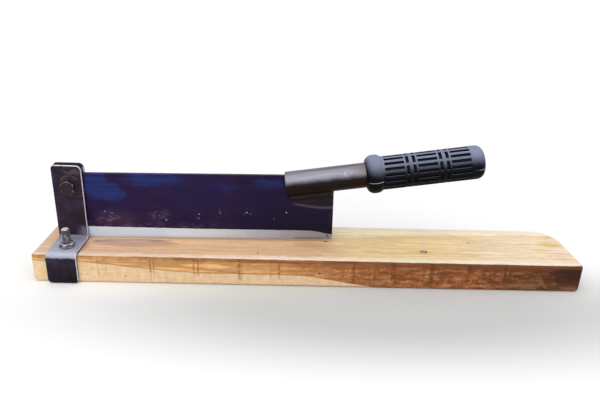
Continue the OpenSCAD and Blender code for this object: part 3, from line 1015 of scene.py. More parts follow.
@dataclass(frozen=True)
class DrawnTube:
    """Drawn steel tube: bare grey on its top, dark brown on its sides and underside, which is heat scale in
    part and painted shade in part.
    """

    bare: Colour = (0.205, 0.202, 0.245)
    # Dark brown of the sides and underside: heat scale in part, painted shade in part.
    scale: Colour = (0.0150, 0.0080, 0.0080)
    tan: Colour = (0.130, 0.090, 0.080)
    nick: Colour = (0.40, 0.39, 0.42)
    nicked: Patch = (0.014, 0.0065, 0.013, 0.0045, 0.1)

    def make(self, line: HandleLine) -> Material:
        """Builds the tube's node tree.

        Args:
            line: The handle's line.

        Returns:
            The material.
        """
        g = Graph("drawn_tube_steel")
        local = g.placed(line.matrix())
        s, _, height = g.split(local)
        pull = g.cloud(1.0, 4.0, 0.6, (45.0, 420.0, 420.0), local)
        patch = g.cloud(75.0, 4.0, 0.6)
        # Bare grey on top, dark brown below: heat scale in part, painted shade of the underside in part.
        bare = g.ease(g.shift(height, patch, 0.004, 0.5), 0.0008, 0.0085)
        tone = g.mix(bare, self.scale, self.bare)
        crown = g.times(g.ease(height, 0.0112, 0.0126), g.ease(s, -0.035, 0.010, 0.35, 0.8))
        warm = g.times(g.ease(s, 0.012, 0.030, 0.0, 0.65), g.ease(patch, 0.25, 0.60, 0.6, 1.0))
        tone = g.lay(tone, self.tan, g.largest((crown, warm)), bare)
        nicks = g.times(g.band(s, 0.0108, 0.0001, 0.0005), g.band(height, 0.0075, 0.0010, 0.0016))
        flecks = g.times(g.ease(g.cells(420.0), 0.30, 0.10), g.patch(*self.nicked, local))
        tone = g.lay(tone, self.nick, g.largest((nicks, flecks)), 0.75)
        tone = g.shade(tone, g.ease(pull, 0.25, 0.75, 0.84, 1.12))
        rough = g.ease(pull, 0.2, 0.8, 0.36, 0.50)
        return g.dress(tone, rough, 0.75, 0.25, (patch, 0.00010), (pull, 0.00006))


@dataclass(frozen=True)
class WeldSkin:
    """Dark weld metal with brown tints."""

    dark: Colour = (0.0100, 0.0065, 0.0065)
    straw: Colour = (0.026, 0.017, 0.015)

    def make(self) -> Material:
        """Builds the weld's node tree.

        Returns:
            The material.
        """
        g = Graph("weld_skin")
        patch = g.cloud(320.0, 4.0, 0.6)
        tone = g.mix(g.ease(patch, 0.50, 0.75), self.dark, self.straw)
        grain = g.cloud(1500.0, 3.0)
        return g.dress(tone, g.ease(patch, 0.25, 0.75, 0.42, 0.60), 0.5, 0.25, (grain, 0.00006))


@dataclass(frozen=True)
class MouldedRubber:
    """Black moulded rubber with a fine grain, and a painted blue-grey sheen on the faces that look up."""

    name: str
    black: Colour = (0.0040, 0.0038, 0.0056)
    # Colour of the painted sheen.
    painted_sheen: Colour = (0.225, 0.250, 0.350)
    gloss_tint: Colour = (0.80, 0.88, 1.0)

    def make(self, line: HandleLine) -> Material:
        """Builds the rubber's node tree.

        Args:
            line: The handle's line.

        Returns:
            The material.
        """
        g = Graph(self.name)
        s, _, _ = g.split(g.placed(line.matrix()))
        patch = g.cloud(95.0, 4.0, 0.6)
        grain = g.cloud(2600.0, 2.0, 0.5)
        rub = g.ease(g.cloud(420.0, 4.0, 0.65), 0.30, 0.70, 0.93, 1.05)
        dome = g.ease(s, 0.1335, 0.1375)
        collar = g.ease(s, 0.0525, 0.0495)
        ends = g.largest((collar, dome))
        # Painted sheen: blue-grey laid on the faces that look up, more on the collar and most on the dome.
        share = g.shift(g.shift(0.94, ends, 0.06), dome, 0.10)
        lit = g.ease(g.shift(g.out_z, collar, 0.03), 0.06, 0.97)
        under = g.mix(ends, g.shade(self.black, 1.7), self.black)
        tone = g.lay(under, self.painted_sheen, lit, share, rub)
        g.feed(g.shader.inputs["Specular Tint"], self.gloss_tint)
        rough = g.ease(patch, 0.25, 0.75, 0.40, 0.52)
        return g.dress(tone, rough, 0.0, 0.05, (patch, 0.00008), (grain, 0.00003))


@dataclass(frozen=True)
class StudioFloor:
    """Matt white floor with a painted soft grey shadow close to the object."""

    white: Colour = (1.0, 1.0, 1.0)
    # Colour of the painted shadow.
    grey: Colour = (0.60, 0.60, 0.595)

    def make(self) -> Material:
        """Builds the floor's node tree.

        Returns:
            The material.
        """
        g = Graph("studio_floor")
        # Painted shadow: a soft grey oval under and in front of the object.
        tone = g.mix(g.spot((0.08, -0.075, 0.0), (0.42, 0.13, 1.0), 0.25), self.white, self.grey)
        tone = g.shade(tone, g.ease(g.cloud(2.0, 2.0), 0.2, 0.8, 0.99, 1.01))
        return g.dress(tone, 0.9, 0.0, 0.0)


# Mesh helpers


def show(name: str, data: ID) -> Object:
    """Puts an object with its data into the scene.

    Args:
        name: The object's name.
        data: Its mesh, lamp or camera.

    Returns:
        The object.
    """
    holder = bpy.data.objects.new(name, data)
    bpy.context.scene.collection.objects.link(holder)
    return holder


def as_mesh(name: str, bm: BMesh, finishes: Iterable[Material]) -> Mesh:
    """Turns a finished bmesh into a mesh, and frees it.

    Args:
        name: The mesh's name.
        bm: The finished bmesh.
        finishes: Materials, in the order of the faces' indices.

    Returns:
        The mesh.
    """
    mesh = bpy.data.meshes.new(name)
    bm.to_mesh(mesh)
    bm.free()
    for finish in finishes:
        mesh.materials.append(finish)
    return mesh


@dataclass(frozen=True)
class Piece:
    """Where a finished mesh belongs."""

    node: str
    make: str
    body: Body
    slot: Slot

    def publish(self, bm: BMesh, finishes: Iterable[Material], crease_deg: float = 32.0) -> None:
        """Makes the object, puts it on its body in place of its node, and reports it.

        Args:
            bm: The finished mesh, which is freed.
            finishes: Materials, in the order of the faces' indices.
            crease_deg: Angle above which an edge is drawn sharp.
        """
        name = f"{self.node}.{self.make}"
        mesh = as_mesh(name, bm, finishes)
        mesh.shade_smooth()
        mesh.set_sharp_from_angle(angle=math.radians(crease_deg))
        piece = show(name, mesh)
        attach(piece, self.body.value)
        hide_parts(self.node)
        log.info("%s: %d faces on %s", name, len(mesh.polygons), self.body.value)


def only(made: Iterable, kind: type) -> list:
    """The parts of one kind among those that an operator made."""
    return [part for part in made if isinstance(part, kind)]


def face_out(bm: BMesh) -> None:
    """Turns every face outwards."""
    bmesh.ops.recalc_face_normals(bm, faces=bm.faces[:])


def move(bm: BMesh, place: Matrix) -> None:
    """Moves a whole mesh."""
    bmesh.ops.transform(bm, matrix=place, verts=bm.verts[:])


def slice_across(bm: BMesh, place: Vector, across: Vector) -> None:
    """Cuts every face of a mesh where a plane crosses it, by a point of the plane and its normal."""
    geom = bm.verts[:] + bm.edges[:] + bm.faces[:]
    bmesh.ops.bisect_plane(bm, geom=geom, dist=CUT_GAP, plane_co=place, plane_no=across)


def slices(bm: BMesh, across: Vector, low: float, high: float, gap: float) -> None:
    """Cuts a mesh by evenly spaced planes.

    Args:
        bm: Mesh to cut.
        across: Axis that the planes cross.
        low: Where the planes begin.
        high: Where they end.
        gap: About how far apart they are.
    """
    count = max(1, round((high - low) / gap))
    for i in range(1, count):
        slice_across(bm, across * (low + (high - low) * i / count), across)


def block(low: Vector, high: Vector) -> BMesh:
    """Starts a mesh with a box.

    Args:
        low: The box's lowest corner.
        high: Its highest corner.

    Returns:
        The mesh.
    """
    bm = bmesh.new()
    place = Matrix.Translation((low + high) / 2.0) @ Matrix.Diagonal((*(high - low), 1.0))
    bmesh.ops.create_cube(bm, size=1.0, matrix=place)
    return bm


def round_edges(bm: BMesh, edges: Iterable[BMEdge], size: float, steps: int) -> list[BMFace]:
    """Rounds edges over.

    Args:
        bm: Mesh to change.
        edges: Edges to round.
        size: Offset of the round.
        steps: Segments of the round.

    Returns:
        The faces of the round.
    """
    made = bmesh.ops.bevel(
        bm, geom=list(edges), offset=size, offset_type="OFFSET", segments=steps, profile=0.5, affect="EDGES",
        material=-1, clamp_overlap=True,
    )
    return made["faces"]


def sharp_edges(bm: BMesh, above_deg: float) -> list[BMEdge]:
    """Edges between two faces that meet at more than an angle."""
    limit = math.radians(above_deg)
    return [e for e in bm.edges if len(e.link_faces) == 2 and e.calc_face_angle(0.0) > limit]


def spans(edge: BMEdge, axis: int) -> float:
    """Length of an edge along an axis."""
    return abs(edge.verts[0].co[axis] - edge.verts[1].co[axis])


def ring_loft(segments: int, stations: Sequence[Station], closed: bool) -> BMesh:
    """Lofts rings about the Z axis, each with its own radius and height at every angle.

    Args:
        segments: Vertices in each ring.
        stations: One function for each ring, from an angle to its radius and height.
        closed: True to join the last ring to the first, False to cap both.

    Returns:
        The mesh.
    """
    bm = bmesh.new()
    ring = bmesh.ops.create_circle(bm, cap_ends=False, radius=1.0, segments=segments)["verts"]
    first = edges = bm.edges[:]
    for number, station in enumerate(stations):
        if number:
            made = bmesh.ops.extrude_edge_only(bm, edges=edges)["geom"]
            ring, edges = only(made, BMVert), only(made, BMEdge)
        for vertex in ring:
            angle = math.atan2(vertex.co.y, vertex.co.x)
            radius, height = station(angle)
            vertex.co = (radius * math.cos(angle), radius * math.sin(angle), height)
    if closed:
        bmesh.ops.bridge_loops(bm, edges=first + edges)
    else:
        for loop in (first, edges):
            bmesh.ops.edgeloop_fill(bm, edges=loop)
    return bm


def lump(x: float, y: float, layer: Layer) -> float:
    """Smooth noise from -1 to 1 at a place in one of its layers."""
    return noise.noise(Vector((x, y, layer.value)))


def turned(radius: float, height: float) -> Station:
    """A round ring of one radius and height."""
    return lambda angle: (radius, height)


# Board


@dataclass
class Board:
    """Planed plank with eased arrises, one corner sawn round, and two counterbores underneath."""

    ease: float = 0.003
    foot: float = 0.007
    corner: float = 0.004
    round_corner: float = 0.026
    bore: float = 0.010
    bore_depth: float = 0.0083
    cell: float = 0.005
    hollow: float = 0.00012
    chip: float = 0.00022
    foot_step_deg: float = 15.0
    foot_steps: int = 5
    ease_steps: int = 4
    corner_steps: int = 5
    round_steps: int = 14
    bore_segments: int = 40
    hollow_waves: tuple[float, float] = (26.0, 70.0)
    dent_waves: float = 95.0
    dent_least: float = 0.12
    dent_drop: float = 1.5
    crease_deg: float = 40.0

    def build(self, wood: Material) -> None:
        """Models and dresses the plank.

        Args:
            wood: The wood's finish.
        """
        low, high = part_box("board")
        bm = block(low, high)
        self.round_corners(bm, high)
        rim = [e for e in bm.edges if spans(e, 2) < CUT_GAP]
        round_edges(bm, rim, self.ease, self.ease_steps)
        self.bore_underside(bm, low)
        for axis, across in enumerate((ALONG, ACROSS, UP)):
            slices(bm, across, low[axis], high[axis], self.cell)
        self.round_feet(bm, low, high)
        self.wear(bm, low, high)
        face_out(bm)
        Piece("board", "planed", Body.BASE, Slot.WOOD).publish(bm, [wood], self.crease_deg)

    def round_corners(self, bm: BMesh, high: Vector) -> None:
        """Rounds the four upright corners, the far back one most.

        Args:
            bm: The plank's box.
            high: Its highest corner.
        """
        upright = [e for e in bm.edges if spans(e, 2) > SMALL_GAP]
        near = [e for e in upright if e.verts[0].co.x < 0.0 or e.verts[0].co.y < 0.0]
        round_edges(bm, near, self.corner, self.corner_steps)
        upright = [e for e in bm.edges if spans(e, 2) > SMALL_GAP]
        far = [e for e in upright if (e.verts[0].co.xy - high.xy).length < SAME_PLACE]
        round_edges(bm, far, self.round_corner, self.round_steps)

    def round_feet(self, bm: BMesh, low: Vector, high: Vector) -> None:
        """Rounds the lower edge of both ends.

        Args:
            bm: The plank, cut into small cells.
            low: Its lowest corner.
            high: Its highest corner.
        """
        for step in range(1, self.foot_steps + 1):
            inset = self.foot * (1.0 - math.cos(math.radians(self.foot_step_deg * step)))
            slice_across(bm, ALONG * (low.x + inset), ALONG)
            slice_across(bm, ALONG * (high.x - inset), ALONG)
            slice_across(bm, UP * (low.z + inset), UP)
        for vertex in bm.verts:
            end = low.x + self.foot if vertex.co.x < 0.0 else high.x - self.foot
            arm = Vector((vertex.co.x - end, vertex.co.z - low.z - self.foot))
            if arm.x * vertex.co.x > 0.0 and arm.y < 0.0 and arm.length > self.foot:
                arm *= self.foot / arm.length
                vertex.co.x = end + arm.x
                vertex.co.z = low.z + self.foot + arm.y

    def bore_underside(self, bm: BMesh, low: Vector) -> None:
        """Opens the two counterbores for the clamp bolts' heads.

        Args:
            bm: The plank.
            low: Its lowest corner.
        """
        floor = min(bm.faces, key=lambda f: f.calc_center_median().z + abs(f.normal.z + 1.0))
        border = list(floor.edges)
        bmesh.ops.delete(bm, geom=[floor], context="FACES_ONLY")
        for node in ("front_clamp_bolt", "rear_clamp_bolt"):
            bolt_low, bolt_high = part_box(node)
            middle = (bolt_low + bolt_high) / 2.0
            place = Matrix.Translation((middle.x, middle.y, low.z))
            circle = bmesh.ops.create_circle(
                bm, cap_ends=False, radius=self.bore, segments=self.bore_segments, matrix=place
            )
            ring = set(circle["verts"])
            mouth = [e for e in bm.edges if e.verts[0] in ring]
            border += mouth
            wall = bmesh.ops.extrude_edge_only(bm, edges=mouth)["geom"]
            bmesh.ops.translate(bm, vec=(0.0, 0.0, self.bore_depth), verts=only(wall, BMVert))
            bmesh.ops.edgeloop_fill(bm, edges=only(wall, BMEdge))
        bmesh.ops.triangle_fill(bm, use_beauty=True, use_dissolve=False, edges=border)

    def wear(self, bm: BMesh, low: Vector, high: Vector) -> None:
        """Gives the top its slight plane hollows and the upper arrises their dents.

        Args:
            bm: The plank, cut into small cells.
            low: Its lowest corner.
            high: Its highest corner.
        """
        for vertex in bm.verts:
            place = vertex.co
            depth = high.z - place.z
            if depth < SAME_PLACE:
                along, across = self.hollow_waves
                place.z -= self.hollow * (1.0 + lump(place.x * along, place.y * across, Layer.HOLLOW))
            inset = min(place.x - low.x, high.x - place.x, place.y - low.y, high.y - place.y)
            if depth < self.ease and inset < self.ease:
                dent = lump(place.x * self.dent_waves, place.y * self.dent_waves, Layer.DENT)
                bite = max(0.0, dent - self.dent_least)
                place.z -= self.chip * bite * self.dent_drop
                place.y -= math.copysign(self.chip * bite, place.y)


# Straps


@dataclass
class StrapBracket:
    """Flat bar bent into a cheek, a foot and a skirt, with its edges worn bright."""

    thickness: float = 0.003
    bend: float = 0.003
    cheek_corner: float = 0.0055
    back_corner: float = 0.003
    skirt_corner: float = 0.004
    arris: float = 0.00075
    steps: int = 8
    corner_steps: int = 7
    arris_steps: int = 3
    arris_deg: float = 50.0
    crease_deg: float = 30.0

    def build(self, side: Side, scale: Material, edge: Material) -> None:
        """Models and dresses one strap.

        Args:
            side: Side of the blade that it stands on.
            scale: Finish of its faces.
            edge: Finish of its rubbed edges.
        """
        node = f"{side.name.lower()}_bracket"
        low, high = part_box(node)
        bm = bmesh.new()
        self.run(bm, low, high, float(side.value))
        bmesh.ops.remove_doubles(bm, verts=bm.verts[:], dist=CUT_GAP)
        inside = [f for f in bm.faces if all(len(e.link_faces) > 2 for e in f.edges)]
        bmesh.ops.delete(bm, geom=inside, context="FACES_ONLY")
        face_out(bm)
        self.round_ends(bm, low, high)
        for face in round_edges(bm, sharp_edges(bm, self.arris_deg), self.arris, self.arris_steps):
            middle = face.calc_center_median()
            front_top = side is Side.FRONT and middle.z > high.z - self.cheek_corner
            if front_top or middle.x > high.x - self.arris:
                face.material_index = 1
        face_out(bm)
        Piece(node, "bent", Body.BASE, Slot.STRAP).publish(bm, [scale, edge], self.crease_deg)

    def run(self, bm: BMesh, low: Vector, high: Vector, out: float) -> None:
        """Draws the flat bar's section along the cheek, round two bends and down the skirt.

        Args:
            bm: Mesh to add to.
            low: The strap's lowest corner.
            high: Its highest corner.
            out: 1 or -1, the way along Y that its foot points.
        """
        foot_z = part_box("board")[1].z
        inner, outer = sorted((abs(low.y), abs(high.y)))
        section = Matrix.Translation(((low.x + high.x) / 2.0, out * (inner + self.thickness / 2.0), high.z))
        section = section @ Matrix.Diagonal((high.x - low.x, self.thickness, 1.0, 1.0))
        bmesh.ops.create_grid(bm, x_segments=1, y_segments=1, size=0.5, matrix=section)
        cheek_foot = foot_z + self.thickness + self.bend
        foot_start = inner + self.thickness + self.bend
        foot_end = outer - self.thickness - self.bend
        end = self.pull(bm, bm.faces[:], (0.0, 0.0, cheek_foot - high.z))
        end = self.turn(bm, end, (0.0, out * foot_start, cheek_foot), out)
        end = self.pull(bm, end, (0.0, out * (foot_end - foot_start), 0.0))
        end = self.turn(bm, end, (0.0, out * foot_end, foot_z - self.bend), -out)
        self.pull(bm, end, (0.0, 0.0, low.z - (foot_z - self.bend)))

    def pull(self, bm: BMesh, end: list[BMFace], way: Place) -> list[BMFace]:
        """Extrudes the bar's end straight on.

        Args:
            bm: The strap so far.
            end: Face at its end.
            way: How far and in which direction it goes.

        Returns:
            The new end face.
        """
        made = bmesh.ops.extrude_face_region(bm, geom=end)["geom"]
        bmesh.ops.translate(bm, vec=way, verts=only(made, BMVert))
        return only(made, BMFace)

    def turn(self, bm: BMesh, end: list[BMFace], centre: Place, way: float) -> list[BMFace]:
        """Spins the bar's end through a right angle about a bend's centre.

        Args:
            bm: The strap so far.
            end: Face at its end.
            centre: A point on the bend's axis.
            way: 1 or -1, the sense of the turn about +X.

        Returns:
            The new end face.
        """
        made = bmesh.ops.spin(
            bm, geom=end, cent=centre, axis=ALONG, angle=way * RIGHT_ANGLE, steps=self.steps,
            use_duplicate=False,
        )
        return only(made["geom_last"], BMFace)

    def round_ends(self, bm: BMesh, low: Vector, high: Vector) -> None:
        """Rounds the corners of the cheek's top and of the skirt's lower end.

        Args:
            bm: The strap.
            low: Its lowest corner.
            high: Its highest corner.
        """
        for x, level, radius in (
            (low.x, high.z, self.back_corner),
            (high.x, high.z, self.cheek_corner),
            (low.x, low.z, self.skirt_corner),
            (high.x, low.z, self.skirt_corner),
        ):
            corner = [v for v in bm.verts if abs(v.co.x - x) + abs(v.co.z - level) < SAME_PLACE]
            edges = [e for e in bm.edges if all(v in corner for v in e.verts)]
            round_edges(bm, edges, radius, self.corner_steps)


# Fasteners


@dataclass
class HexForm:
    """Hexagon across flats, a corner towards Y, with its corners turned off at 30 degrees."""

    flats: float = 0.013
    turn: float = 0.0003
    turn_deg: float = 30.0
    tilt_least: float = 0.5
    tilt_most: float = 0.95
    segments: int = 60

    def radius(self, angle: float) -> float:
        """Distance from the axis to the hexagon's side at an angle."""
        sixth = FULL_TURN / 6.0
        return self.flats / 2.0 / math.cos((angle + sixth / 2.0) % sixth - sixth / 2.0)

    def flat_radius(self) -> float:
        """Radius of the round face that the turning leaves."""
        return self.flats / 2.0 - self.turn

    def drop(self, angle: float) -> float:
        """How far the turning lowers the side's edge at an angle."""
        return max(0.0, self.radius(angle) - self.flat_radius()) * math.tan(math.radians(self.turn_deg))

    def is_turned(self, tilt: float) -> bool:
        """True for the slope of the turning, by the part of a face's normal along the axis."""
        return self.tilt_least < tilt < self.tilt_most


@dataclass
class Fixing:
    """A turned piece on a bolt's line: its node, the way its bolt lies, its slot and its finishes."""

    node: str
    lie: Lie
    slot: Slot
    finishes: tuple[Material, ...]

    def reach(self) -> float:
        """Length of the node along its bolt."""
        low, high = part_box(self.node)
        return high[self.lie.value] - low[self.lie.value]

    def stand(self, bm: BMesh, make: str, lift: float = 0.0) -> None:
        """Moves a mesh that was turned on Z to its bolt's line, and publishes it.

        Args:
            bm: The finished mesh.
            make: How the piece was made, for its name.
            lift: Height of the mesh's zero above the node's near end.
        """
        low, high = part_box(self.node)
        along = self.lie.value
        base = (low + high) / 2.0
        base[along] = low[along] + lift
        place = Matrix.Translation(base)
        if self.lie is Lie.BACK:
            place = place @ Matrix.Rotation(-RIGHT_ANGLE, 4, "X")
        move(bm, place)
        face_out(bm)
        Piece(self.node, make, Body.BASE, self.slot).publish(bm, self.finishes)


@dataclass
class HexBolt(Fixing):
    """Hex head bolt with a real thread on its end. Its second finish, a painted highlight, is on the turned
    edges and the end.
    """

    diameter: float = 0.008
    head: float = 0.0053
    face_inset: float = 0.0012
    pitch: float = 0.00125
    thread_depth: float = 0.00068
    thread_foot: float = 0.48
    thread_tip: float = 0.08
    chamfer: float = 0.001
    thread_run: float = 0.022
    turn_steps: int = 30

    def build(self) -> None:
        """Models and dresses the bolt."""
        length = self.reach() - self.head
        form = HexForm()
        shank = self.diameter / 2.0
        core = shank - self.thread_depth
        bm = ring_loft(form.segments, (
            turned(form.flat_radius() - self.face_inset, -self.head),
            turned(form.flat_radius(), -self.head),
            lambda a: (form.radius(a), form.drop(a) - self.head),
            lambda a: (form.radius(a), 0.0),
            turned(shank, 0.0),
            turned(shank, length - self.thread_run),
            turned(core, length - self.thread_run + self.thread_depth),
            turned(core, length - self.chamfer / 2.0),
            turned(core - self.chamfer / 2.0, length),
        ), closed=False)
        face_out(bm)
        # The turned edges and the end take the second finish, a painted highlight.
        for face in bm.faces:
            height = face.calc_center_median().z
            turned_edge = height < -SMALL_GAP and form.is_turned(-face.normal.z)
            if turned_edge or height > length - self.chamfer / 2.0:
                face.material_index = 1
        self.thread(bm, length, core)
        self.stand(bm, "threaded", self.head)

    def thread(self, bm: BMesh, length: float, core: float) -> None:
        """Winds the thread's ridge round the end of the shank.

        Args:
            bm: The bolt, standing on Z.
            length: Length of its shank.
            core: Radius at the thread's root.
        """
        turns = math.floor((self.thread_run - self.chamfer) / self.pitch)
        start = length - turns * self.pitch - self.pitch / 2.0
        crest = self.diameter / 2.0
        root = core - self.thread_depth / 2.0
        foot, tip = self.thread_foot * self.pitch, self.thread_tip * self.pitch
        known = set(bm.verts)
        corners = ((root, -foot), (crest, -tip), (crest, tip), (root, foot))
        face = bm.faces.new([bm.verts.new((r, 0.0, start + h)) for r, h in corners])
        bmesh.ops.spin(
            bm, geom=[face], cent=ORIGIN, axis=UP, dvec=UP * (self.pitch / self.turn_steps),
            angle=FULL_TURN * turns, steps=self.turn_steps * turns, use_duplicate=False,
        )
        for vertex in set(bm.verts) - known:
            allowed = crest - max(0.0, vertex.co.z - (length - self.chamfer))
            reach = vertex.co.xy.length
            if reach > allowed:
                vertex.co.xy *= allowed / reach
            vertex.co.z = min(vertex.co.z, length - self.chamfer / 4.0)


@dataclass
class HexNut(Fixing):
    """Plain hex nut, turned on both faces and countersunk. Its second finish, a painted highlight, is on the
    turned edges.
    """

    bore: float = 0.0037
    sink: float = 0.0004

    def build(self) -> None:
        """Models and dresses the nut."""
        height = self.reach()
        form = HexForm()
        bm = ring_loft(form.segments, (
            turned(self.bore + self.sink, 0.0),
            turned(form.flat_radius(), 0.0),
            lambda a: (form.radius(a), form.drop(a)),
            lambda a: (form.radius(a), height - form.drop(a)),
            turned(form.flat_radius(), height),
            turned(self.bore + 2.0 * self.sink, height),
            turned(self.bore, height - self.sink),
            turned(self.bore, self.sink),
        ), closed=True)
        face_out(bm)
        # The turned edges take the second finish, a painted highlight.
        for face in bm.faces:
            if form.is_turned(face.normal.z):
                face.material_index = 1
        self.stand(bm, "turned")


@dataclass
class Washer(Fixing):
    """Stamped washer with one soft and one crisp edge."""

    bore: float = 0.0043
    soft: float = 0.0004
    segments: int = 64

    def build(self) -> None:
        """Models and dresses the washer."""
        low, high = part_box(self.node)
        rim = (high.x - low.x) / 2.0
        height = self.reach()
        crisp = self.soft / 4.0
        bm = ring_loft(self.segments, (
            turned(self.bore, self.soft),
            turned(self.bore + self.soft, 0.0),
            turned(rim - self.soft, 0.0),
            turned(rim - self.soft / 3.0, self.soft / 3.0),
            turned(rim, self.soft),
            turned(rim, height - crisp),
            turned(rim - crisp, height),
            turned(self.bore + crisp, height),
            turned(self.bore, height - crisp),
        ), closed=True)
        self.stand(bm, "stamped")


# Blade


@dataclass
class Blade:
    """Blued plate with a hand-ground bevel on both faces of its lower edge."""

    edge: float = 0.0004
    corner: float = 0.002
    full_bevel: float = 0.0132
    bevel_line: tuple[tuple[float, float], ...] = (
        (-0.2555, 0.0132), (-0.2236, 0.0128), (-0.1150, 0.0112), (-0.0110, 0.0106), (0.0014, 0.0102),
        (0.0100, 0.0088), (0.0162, 0.0072), (0.0225, 0.0066),
    )
    ragged: float = 0.00028
    cell: float = 0.0014
    arris: float = 0.00035
    corner_steps: int = 4
    arris_steps: int = 2
    rim_deg: float = 60.0
    jag_waves: tuple[float, float] = (420.0, 130.0)
    coarse_jag: float = 0.7
    crease_deg: float = 8.0

    def build(self, lever: LeverFrame, blued: Material, ground: Material) -> None:
        """Models and dresses the blade.

        Args:
            lever: The lever's frame.
            blued: Finish of its faces.
            ground: Finish of its bevel.
        """
        low, high = Vector(lever.blade_low), Vector(lever.blade_high)
        bm = block(low, high)
        across = [e for e in bm.edges if spans(e, 1) > SMALL_GAP]
        heel = [e for e in across if e.verts[0].co.x < 0.0 and e.verts[0].co.z < (low.z + high.z) / 2.0]
        round_edges(bm, [e for e in across if e not in heel], self.corner, self.corner_steps)
        sharp = sharp_edges(bm, self.rim_deg)
        rim = [e for e in sharp if min(v.co.z for v in e.verts) > low.z + self.corner]
        round_edges(bm, rim, self.arris, self.arris_steps)
        slice_across(bm, UP * (low.z + self.full_bevel), UP)
        slices(bm, ALONG, low.x, high.x, self.cell)
        self.grind(bm, low, high)
        self.trim_heel(bm, lever)
        move(bm, lever.matrix())
        face_out(bm)
        Piece("blade", "ground", Body.LEVER, Slot.BLADE).publish(bm, [blued, ground], self.crease_deg)

    def bevel_height(self, x: float) -> float:
        """Height of the ground bevel above the cutting edge.

        Args:
            x: Place along the blade.

        Returns:
            The height, with its ragged line.
        """
        height = self.bevel_line[0][1]
        for (x0, h0), (x1, h1) in zip(self.bevel_line, self.bevel_line[1:]):
            if x >= x0:
                height = h0 + (h1 - h0) * min(1.0, (x - x0) / (x1 - x0))
        fine, coarse = self.jag_waves
        jag = lump(x * fine, 0.0, Layer.JAG) + self.coarse_jag * lump(x * coarse, 0.0, Layer.COARSE_JAG)
        return height + self.ragged * jag

    def grind(self, bm: BMesh, low: Vector, high: Vector) -> None:
        """Thins the plate below the bevel's line and marks the ground faces.

        Args:
            bm: The plate, cut at the bevel's line.
            low: Its lowest corner.
            high: Its highest corner.
        """
        half = high.y
        level = low.z + self.full_bevel
        for vertex in bm.verts:
            if vertex.co.z > level + SAME_PLACE:
                continue
            share = (vertex.co.z - low.z) / self.full_bevel
            vertex.co.z = low.z + share * self.bevel_height(vertex.co.x)
            vertex.co.y *= (self.edge / 2.0 + (half - self.edge / 2.0) * share) / half
        for face in bm.faces:
            if all(v.co.z < low.z + self.bevel_height(v.co.x) + SAME_PLACE for v in face.verts):
                face.material_index = 1

    def trim_heel(self, bm: BMesh, lever: LeverFrame) -> None:
        """Grinds the heel to an arc about the pivot, so that it passes over the board.

        Args:
            bm: The level blade.
            lever: The lever's frame.
        """
        pivot = lever.pivot()
        reach = pivot.z - lever.blade_low[2]
        for vertex in bm.verts:
            arm = Vector((vertex.co.x - pivot.x, vertex.co.z - pivot.z))
            if arm.x < 0.0 and arm.y < 0.0 and arm.length > reach:
                arm *= reach / arm.length
                vertex.co.x = pivot.x + arm.x
                vertex.co.z = pivot.z + arm.y


# Handle


@dataclass
class HandleTube:
    """Round tube, slotted from below over the blade's upper tip corner."""

    diameter: float = 0.0254
    wall: float = 0.002
    overlap: float = 0.049
    bare: float = 0.0315
    bore_run: float = 0.110
    slot_half: float = 0.0021
    tip_gap: float = 0.0001
    arris: float = 0.0006
    cell: float = 0.006
    segments: int = 96
    arris_steps: int = 2
    rim_deg: float = 60.0
    crease_deg: float = 40.0

    def build(self, line: HandleLine, drawn: Material) -> None:
        """Models and dresses the tube.

        Args:
            line: The handle's line.
            drawn: The tube's finish.
        """
        length = self.overlap + self.bare + self.bore_run
        radius = self.diameter / 2.0
        middle = Matrix.Translation((length / 2.0 - self.overlap, 0.0, 0.0))
        lay = middle @ Matrix.Rotation(RIGHT_ANGLE, 4, "Y")
        bm = bmesh.new()
        bmesh.ops.create_cone(
            bm, cap_ends=False, segments=self.segments, radius1=radius, radius2=radius, depth=length,
            matrix=lay,
        )
        slices(bm, ALONG, -self.overlap, length - self.overlap, self.cell)
        move(bm, line.level_matrix())
        self.cut_slot(bm, line)
        face_out(bm)
        bmesh.ops.solidify(bm, geom=bm.faces[:], thickness=self.wall)
        face_out(bm)
        round_edges(bm, sharp_edges(bm, self.rim_deg), self.arris, self.arris_steps)
        move(bm, line.lever.matrix())
        Piece("handle_tube", "slotted", Body.LEVER, Slot.TUBE).publish(bm, [drawn], self.crease_deg)

    def cut_slot(self, bm: BMesh, line: HandleLine) -> None:
        """Removes the wall where the blade passes through the underside.

        Args:
            bm: The tube's outer skin.
            line: The handle's line.
        """
        tip = line.lever.blade_high[0] + self.tip_gap
        for y in (-self.slot_half, self.slot_half):
            slice_across(bm, ACROSS * y, ACROSS)
        slice_across(bm, ALONG * tip, ALONG)
        to_line = line.level_matrix().inverted()
        gone = []
        for face in bm.faces:
            middle = face.calc_center_median()
            if abs(middle.y) < self.slot_half and middle.x < tip and (to_line @ middle).z < 0.0:
                gone.append(face)
        bmesh.ops.delete(bm, geom=gone, context="FACES")


